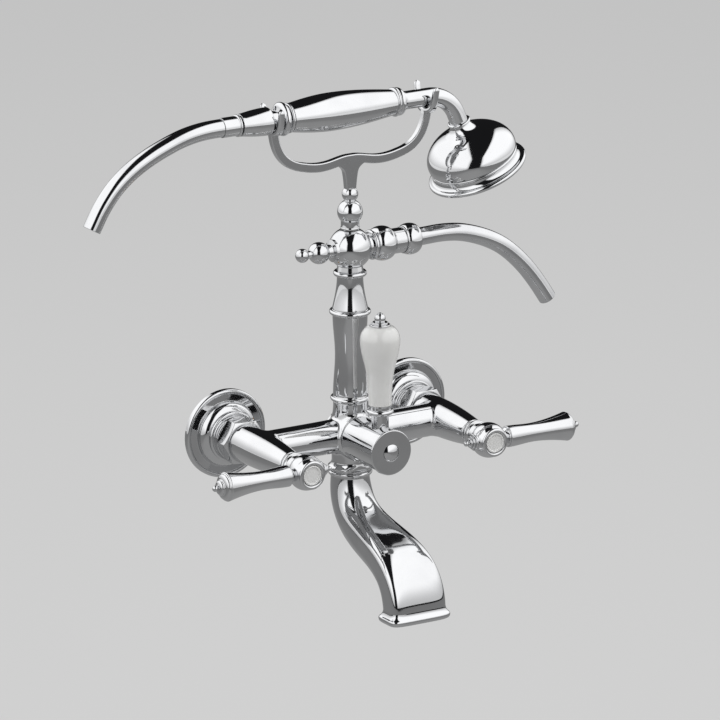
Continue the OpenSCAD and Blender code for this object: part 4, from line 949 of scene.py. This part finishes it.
grip_run = GRIP_END - GRIP_START
turn("shower_grip",
     [(6.2, GRIP_START)] + run(lambda t: (grip_radius(t), GRIP_START + grip_run * t), 80) + [(6.2, GRIP_END)],
     HANDLE, around=144, loop=True)
g = GRIP_END
turn("front_collar",
     [(6.6, g), (9.2, g)] + arc((9.2, g + 1.3), 1.2, -84, 84, 12) + [(9.2, g + 2.8)]
     + oval((8.2, g + 4.6), 1.8, 2.2, -60, 84, 16)
     + rounded([(8.2, g + 7), (7.1, g + 9, 0.4), (6.6, g + 9)]), HANDLE, loop=True)

# %% [markdown]
# The neck is a tube bent round a former, so its path is a straight line, an arc and a short straight end that
# goes into the bell's collar.

# %% Neck
TILT, BEND_R, BEND_START, HEAD_R, HEAD_H, NECK_TAIL = math.radians(23), 25.0, 64.2, 36.2, 42.5, 5.9
bend_end = np.array([BEND_START + BEND_R * math.cos(TILT), RISER_Y, REST_Z - BEND_R * (1 - math.sin(TILT))])
head_up = np.array([-math.sin(TILT), 0, math.cos(TILT)])
HEAD = bend_end - head_up * (HEAD_H + NECK_TAIL)
HEAD_AXIS = place(HEAD, head_up, Y)
straight = [(x, RISER_Y, REST_Z) for x in np.linspace(GRIP_END + 3.2, BEND_START, 10)]
bend = [(BEND_START + BEND_R * math.sin(a), RISER_Y, REST_Z - BEND_R * (1 - math.cos(a)))
        for a in np.linspace(0, math.pi / 2 - TILT, 37)[1:]]
tail = [tuple(bend_end - head_up * d) for d in (2, 4, 6, 8)]
neck_path = np.array(straight + bend + tail)
neck_rings = swept_rings(neck_path, Y, NECK_R, NECK_R, squircle(2, 72))
stands_for(skin("shower_neck_bent", neck_rings), "shower_neck")

# %% [markdown]
# The bell has a rolled rim and a collar. Its outline follows the outside up to the collar and comes back down
# the inside, so that it is hollow like the real one.

# %% Bell
r, h = HEAD_R, HEAD_H
bell_outline = (
    rounded([(r - 5.5, 0.4), (r - 5.3, 0, 0.3), (r - 1.8, 0.1)])
    + arc((r - 1.8, 1.9), 1.8, -84, 84, 18)
    + oval((r - 2.2, 8.2), 3, 4.4, 268, 182, 18)
    + arc((r - 5.4, 9.4), 1.1, -66, 78, 12)
    + oval((0, 14.5), r - 3.6, h - 21.5, -9, 67, 56)
    + oval((15.4, h - 1.4), 8.4, 7.4, 248, 188, 18)
    + arc((7.2, h - 1), 1.2, -60, 90, 12) + [(6.52, h + 0.2), (6.4, h - 2)]
    + oval((0, 14.5), r - 6.6, h - 23.5, 70, -8, 11)
    + [(r - 7.2, 9), (r - 7.2, 5), (r - 5.5, 5)]
)
turn("shower_bell", bell_outline, HEAD_AXIS, around=176, loop=True)
print("hand shower: neck of", len(neck_path), "rings")

# %% [markdown]
# ## The spout
# The spout starts round under its nut, runs forward in an S and ends in a wide flat mouth with a rolled
# lip. It is lofted: rings along the centre line change little by little from a circle to a broad, squarish
# section. Just under the nut it widens over a small shoulder. The inside follows the same line with a
# smaller ring.

# %% Spout nut
SPOUT_TOP, SOCKET_BOTTOM, INLET_R = -30.2, -24.6, 14.8
turn("spout_nut",
     [(9.4, SPOUT_TOP), (14.2, SPOUT_TOP), (14.2, SPOUT_TOP + 0.9)]
     + arc((14.2, SPOUT_TOP + 2.6), 1.6, -80, 80, 14)
     + rounded([(14.2, SOCKET_BOTTOM - 1.3), (14.8, SOCKET_BOTTOM - 0.8, 0.2), (14.8, SOCKET_BOTTOM, 0.2),
                (9.4, SOCKET_BOTTOM)]), RISER, loop=True)

# %% [markdown]
# The loft keeps each ring square to the centre line, so the wall stays even round the bends. The section's
# power grows from round to nearly rectangular on the way. The lip is a short stack of level rings.

# %% Spout loft
MOUTH_Y, LIP_TOP, MOUTH_Z = -135.2, -105.0, -113.7
MOUTH_HALF_W, MOUTH_HALF_D, WALL, LIP, FORWARD_LEAN = 22.1, 10.2, 2.0, 2.8, 6.2
AROUND, STATIONS = 144, 72
SHOULDER, SHOULDER_STATIONS = 1.1, 9
drop = SPOUT_TOP - LIP_TOP
line = bezier((RISER_Y, SPOUT_TOP), (RISER_Y, SPOUT_TOP - 0.74 * drop),
              (MOUTH_Y + FORWARD_LEAN, LIP_TOP + 0.69 * drop), (MOUTH_Y, LIP_TOP), STATIONS)
heading = directions(line)
heading[0] = (0, -1)


def spout_ring(centre, ahead, w, d, power):
    """A ring across the spout at a point of its YZ centre line."""
    u, v = squircle(power, AROUND)(w, d)
    return np.stack([u, centre[0] - ahead[1] * v, centre[1] + ahead[0] * v], axis=1)


def spout_body(inset):
    """The rings from nut to lip, for the outside at no inset and for the inside at the wall's."""
    rings = []
    for k, (p, d) in enumerate(zip(line, heading)):
        e = ease(k / STATIONS)
        start = INLET_R - SHOULDER * max(0, 1 - k / SHOULDER_STATIONS) ** 2
        rings.append(spout_ring(p, d, start + (MOUTH_HALF_W - start) * e - inset,
                                start + (MOUTH_HALF_D - start) * e - inset, 2 + 3 * e))
    return rings


def mouth(grow, z):
    """A level ring round the mouth, grown outwards."""
    return spout_ring((MOUTH_Y, z), (0, -1), MOUTH_HALF_W + grow, MOUTH_HALF_D + grow, 5)


lip_height = LIP_TOP - MOUTH_Z
roll_shape = [(0, 0), (0.15, 0.22), (0.5, 0.42), (0.9, 0.56), (1, 0.72), (0.85, 0.9), (0.5, 1)]
roll = smooth_route([(out, down, 0) for out, down in roll_shape], 5)
lip_profile = [(LIP * min(out, 1), LIP_TOP - lip_height * min(down, 1)) for out, down, _ in roll]
lip_profile += rounded([(0.4 * LIP, MOUTH_Z), (-WALL, MOUTH_Z, 0.8), (-WALL, LIP_TOP)])
lip = [mouth(grow, z) for grow, z in lip_profile]
rings = spout_body(0)[:-1] + lip + spout_body(WALL)[:-1][::-1]
stands_for(skin("spout_cast", rings, loop=True), "spout")
print("spout:", len(rings), "rings of", AROUND)

# %% [markdown]
# ## Shared finishes
# Metal that people handle has two things on it: a thin film of smudges, which dulls the mirror a little in
# patches, and a fine grain from polishing. Both are built once as a node group and placed in each material
# with its own values. The group gives out masks and heights only; each material keeps its own shader.

# %% Node helpers
def put(tree, kind, x, y, **values):
    """A new node at a place in the tree, with its settings."""
    node = tree.nodes.new(kind)
    node.location = (x, y)
    for key, value in values.items():
        setattr(node, key, value)
    return node


def join(tree, a, out, b, into):
    """A link from one node's output to another's input."""
    tree.links.new(a.outputs[out], b.inputs[into])


def give(node, **values):
    """Set inputs by name, with an underscore for each space."""
    for label, value in values.items():
        node.inputs[label.replace("_", " ")].default_value = value


def new_group(name, inputs, outputs):
    """A node group with its input and output nodes."""
    group = bpy.data.node_groups.new(name, "ShaderNodeTree")
    for label, value in inputs.items():
        socket = group.interface.new_socket(label, in_out="INPUT", socket_type="NodeSocketFloat")
        socket.default_value = value
    for label in outputs:
        group.interface.new_socket(label, in_out="OUTPUT", socket_type="NodeSocketFloat")
    return group, put(group, "NodeGroupInput", -900, 0), put(group, "NodeGroupOutput", 900, 0)


# %% [markdown]
# Smudges are a distorted noise, cut to soft patches. Grain is a noise for the bump. Drops are small round
# dried spots, one round each point of a Voronoi texture.

# %% Smudges and grain
surface_film, gin, gout = new_group(
    "surface_film", {"Smudge Scale": 45.0, "Grain Scale": 900.0, "Drop Scale": 160.0},
    ["Smudge", "Grain", "Drops"])
where = put(surface_film, "ShaderNodeTexCoord", -700, 300)
smudge = put(surface_film, "ShaderNodeTexNoise", -400, 300)
give(smudge, Detail=5, Distortion=0.6)
spread = put(surface_film, "ShaderNodeMapRange", 0, 300)
give(spread, From_Min=0.42, From_Max=0.68)
grain = put(surface_film, "ShaderNodeTexNoise", -400, 0)
give(grain, Detail=3)
drops = put(surface_film, "ShaderNodeTexVoronoi", -400, -300)
rim = put(surface_film, "ShaderNodeMapRange", 0, -300)
give(rim, From_Min=0.16, From_Max=0.1)
for texture, scale in ((smudge, "Smudge Scale"), (grain, "Grain Scale"), (drops, "Drop Scale")):
    join(surface_film, where, "Object", texture, "Vector")
    join(surface_film, gin, scale, texture, "Scale")
join(surface_film, smudge, 0, spread, "Value")
join(surface_film, drops, "Distance", rim, "Value")
join(surface_film, spread, "Result", gout, "Smudge")
join(surface_film, grain, 0, gout, "Grain")
join(surface_film, rim, "Result", gout, "Drops")


# %% [markdown]
# Each material mixes its own two tints and two roughnesses by the smudge mask. One function builds them all,
# so the finishes differ only in their values.

# %% A material on the shared film
def finish(name, tint, dull_tint, metal, rough, rough_spread, film, bump, **shader_values):
    """A Principled material that varies with the shared film. Bump is a strength and a height in metres."""
    material = bpy.data.materials.new(name)
    material.use_nodes = True
    tree = material.node_tree
    shader = tree.nodes["Principled BSDF"]
    give(shader, Metallic=metal, **shader_values)
    source = put(tree, "ShaderNodeGroup", -700, 0, node_tree=surface_film)
    give(source, **film)
    colour = put(tree, "ShaderNodeMix", -400, 250, data_type="RGBA")
    give(colour, A=(*tint, 1), B=(*dull_tint, 1))
    join(tree, source, "Smudge", colour, "Factor")
    join(tree, colour, "Result", shader, "Base Color")
    dull = put(tree, "ShaderNodeMapRange", -400, 0)
    give(dull, To_Min=rough, To_Max=rough + rough_spread)
    join(tree, source, "Smudge", dull, "Value")
    wet = put(tree, "ShaderNodeMath", -200, 0, operation="MULTIPLY_ADD")
    wet.inputs[1].default_value = rough_spread * 0.5
    join(tree, source, "Drops", wet, 0)
    join(tree, dull, "Result", wet, 2)
    join(tree, wet, 0, shader, "Roughness")
    raised = put(tree, "ShaderNodeBump", -400, -250)
    give(raised, Strength=bump[0], Distance=bump[1])
    join(tree, source, "Grain", raised, "Height")
    join(tree, raised, "Normal", shader, "Normal")
    return material


# %% [markdown]
# Chromium reflects a little over half of the light, evenly over all colours, so polished chrome is a dark
# grey mirror and not a white one. That is what gives it its deep blacks. Porcelain is a white body under a
# clear glaze, brass is yellow under its oxide, and rubber and plastic are dull. Plating and glaze are nearly
# smooth, with a wide shallow grain, and turned or moulded parts have a fine one.

# %% The finishes
FINE = dict(Smudge_Scale=38.0, Grain_Scale=700.0, Drop_Scale=210.0)
SMOOTH = dict(Smudge_Scale=38.0, Grain_Scale=150.0, Drop_Scale=210.0)
materials = {
    "chrome": finish("polished_chrome", (0.66, 0.665, 0.675), (0.62, 0.625, 0.635), metal=1.0,
                     rough=0.045, rough_spread=0.03, film=SMOOTH, bump=(0.03, 0.00002)),
    "hose": finish("hose_chrome", (0.64, 0.645, 0.655), (0.58, 0.585, 0.6), metal=1.0,
                   rough=0.06, rough_spread=0.05, film=SMOOTH, bump=(0.04, 0.00002)),
    "brass": finish("turned_brass", (0.72, 0.5, 0.2), (0.45, 0.28, 0.1), metal=1.0,
                    rough=0.22, rough_spread=0.2, film=FINE, bump=(0.25, 0.0001)),
    "steel": finish("stainless_steel", (0.6, 0.6, 0.61), (0.5, 0.5, 0.51), metal=1.0,
                    rough=0.2, rough_spread=0.15, film=FINE, bump=(0.2, 0.0001)),
    "porcelain": finish("glazed_porcelain", (0.86, 0.86, 0.85), (0.82, 0.82, 0.8), metal=0.0,
                        rough=0.06, rough_spread=0.04, film=SMOOTH, bump=(0.02, 0.00002),
                        Coat_Weight=0.6, Coat_Roughness=0.03, IOR=1.52),
    "plastic": finish("moulded_plastic", (0.78, 0.78, 0.76), (0.7, 0.7, 0.67), metal=0.0,
                      rough=0.35, rough_spread=0.15, film=FINE, bump=(0.2, 0.00008)),
    "rubber": finish("black_rubber", (0.02, 0.02, 0.022), (0.035, 0.035, 0.036), metal=0.0,
                     rough=0.55, rough_spread=0.2, film=FINE, bump=(0.4, 0.0001)),
}
for node, o in frame["nodes"].items():
    o.data.materials[0] = materials[slot_of_node[node]]
for name, slot_name in finished.items():
    bpy.data.objects[name].data.materials.append(materials[slot_name])
print("finishes:", sorted(materials))

# %% [markdown]
# ## Floor
# The floor is plain and pale, with a very faint mottle so that it doesn't look like a screen. Three quarters
# of its look is an even glow. The glow is stronger towards the camera than towards the chrome, which keeps
# the floor pale in the picture and the lower halves of the tubes grey.

# %% Floor
FLOOR_Z, FLOOR_HALF = -0.62, 9.0
GLOW_TO_CHROME, GLOW_TO_CAMERA, GLOW_SHARE = 0.3, 0.68, 0.75
bpy.ops.mesh.primitive_plane_add(size=2 * FLOOR_HALF, location=(0, 0, FLOOR_Z))
floor = bpy.context.object
floor.name = "floor"
floor_finish = finish("floor_paint", (0.74, 0.74, 0.735), (0.71, 0.71, 0.705), metal=0.0,
                      rough=0.7, rough_spread=0.1, bump=(0.05, 0.001),
                      film=dict(Smudge_Scale=1.2, Grain_Scale=60.0, Drop_Scale=20.0))
tree = floor_finish.node_tree
ray = put(tree, "ShaderNodeLightPath", 0, 500)
glow_strength = put(tree, "ShaderNodeMapRange", 200, 500)
give(glow_strength, To_Min=GLOW_TO_CHROME, To_Max=GLOW_TO_CAMERA)
glow = put(tree, "ShaderNodeEmission", 400, 400)
lit = put(tree, "ShaderNodeMixShader", 600, 200)
lit.inputs[0].default_value = GLOW_SHARE
join(tree, ray, "Is Camera Ray", glow_strength, "Value")
join(tree, glow_strength, "Result", glow, "Strength")
join(tree, tree.nodes["Principled BSDF"], 0, lit, 1)
join(tree, glow, 0, lit, 2)
join(tree, lit, 0, tree.nodes["Material Output"], "Surface")
floor.data.materials.append(floor_finish)
floor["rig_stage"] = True

# %% [markdown]
# ## Light
# Chrome shows its surroundings, so it is lit by what stands round it. Two tall white screens stand to the
# left and right of the camera's line, like the walls of a light tent, with a dark gap above and between
# them. The screens give the broad white bands, the dark gap gives the black cores, and the floor gives the
# grey of the lower halves.

# %% Screens
level_to_camera = np.array([to_camera[0], to_camera[1], 0]) / math.hypot(to_camera[0], to_camera[1])
SCREEN_OFFSET, SCREEN_NEAR, SCREEN_FAR, SCREEN_LOW, SCREEN_HIGH, RADIANCE = 1.25, 4.6, -3.2, -0.1, 3.9, 1.45
SCREEN_SHIFT, FADE_SHARE, EDGE_LEVEL = -0.05, (0.22, 0.2), 0.5


def soft_edges(light):
    """Let a screen fade towards its edges, as cloth lit from behind does."""
    light.use_nodes = True
    tree = light.node_tree
    lamp = tree.nodes["Emission"]
    spot = put(tree, "ShaderNodeNewGeometry", -900, 0)
    parts = put(tree, "ShaderNodeSeparateXYZ", -700, 0)
    join(tree, spot, "Parametric", parts, 0)
    fades = []
    for k in (0, 1):
        back = put(tree, "ShaderNodeMath", -500, -200 * k, operation="PINGPONG")
        back.inputs[1].default_value = 0.5
        fade = put(tree, "ShaderNodeMapRange", -300, -200 * k, interpolation_type="SMOOTHSTEP")
        give(fade, From_Max=FADE_SHARE[k], To_Min=EDGE_LEVEL)
        join(tree, parts, k, back, 0)
        join(tree, back, 0, fade, "Value")
        fades.append(fade)
    both = put(tree, "ShaderNodeMath", -100, 0, operation="MULTIPLY")
    for k, fade in enumerate(fades):
        join(tree, fade, "Result", both, k)
    join(tree, both, 0, lamp, "Strength")


def screen(name, side):
    """A white screen parallel to the camera's line, to its right at side 1 and to its left at side -1."""
    light = bpy.data.lights.new(name, "AREA")
    light.shape = "RECTANGLE"
    light.size, light.size_y = SCREEN_NEAR - SCREEN_FAR, SCREEN_HIGH - SCREEN_LOW
    light.energy = RADIANCE * math.pi * light.size * light.size_y
    soft_edges(light)
    lamp = bpy.data.objects.new(name, light)
    scene.collection.objects.link(lamp)
    middle = view_right * side * SCREEN_OFFSET + level_to_camera * (SCREEN_NEAR + SCREEN_FAR) / 2
    lamp.location = (middle[0], middle[1] + SCREEN_SHIFT, (SCREEN_LOW + SCREEN_HIGH) / 2)
    lamp.rotation_mode = "QUATERNION"
    lamp.rotation_quaternion = turn_from(-side * level_to_camera, Z, side * view_right)
    lamp.visible_camera = False


screen("right_screen", 1)
screen("left_screen", -1)

# %% [markdown]
# The rest of the room is nearly black for reflections and pale for the camera, so the chrome keeps its dark
# cores while the background stays pale.

# %% Surroundings
world = bpy.data.worlds.new("studio")
scene.world = world
world.use_nodes = True
tree = world.node_tree
tree.nodes.clear()
out = put(tree, "ShaderNodeOutputWorld", 600, 0)
pick = put(tree, "ShaderNodeMixShader", 400, 0)
dark = put(tree, "ShaderNodeBackground", 100, -150)
give(dark, Color=(0.012, 0.012, 0.013, 1))
pale = put(tree, "ShaderNodeBackground", 100, -300)
give(pale, Color=(0.62, 0.62, 0.62, 1))
ray = put(tree, "ShaderNodeLightPath", 100, 300)
join(tree, ray, "Is Camera Ray", pick, 0)
join(tree, dark, 0, pick, 1)
join(tree, pale, 0, pick, 2)
join(tree, pick, 0, out, "Surface")
scene.view_settings.view_transform = "Standard"
print("light: two screens and a dark room")

# %% [markdown]
# ## Sizes
# The looks must not change the object's size. The box round everything but the floor is printed.

# %% Print the visual box
low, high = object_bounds()
print("visual box", [round(v, 4) for v in low], [round(v, 4) for v in high])
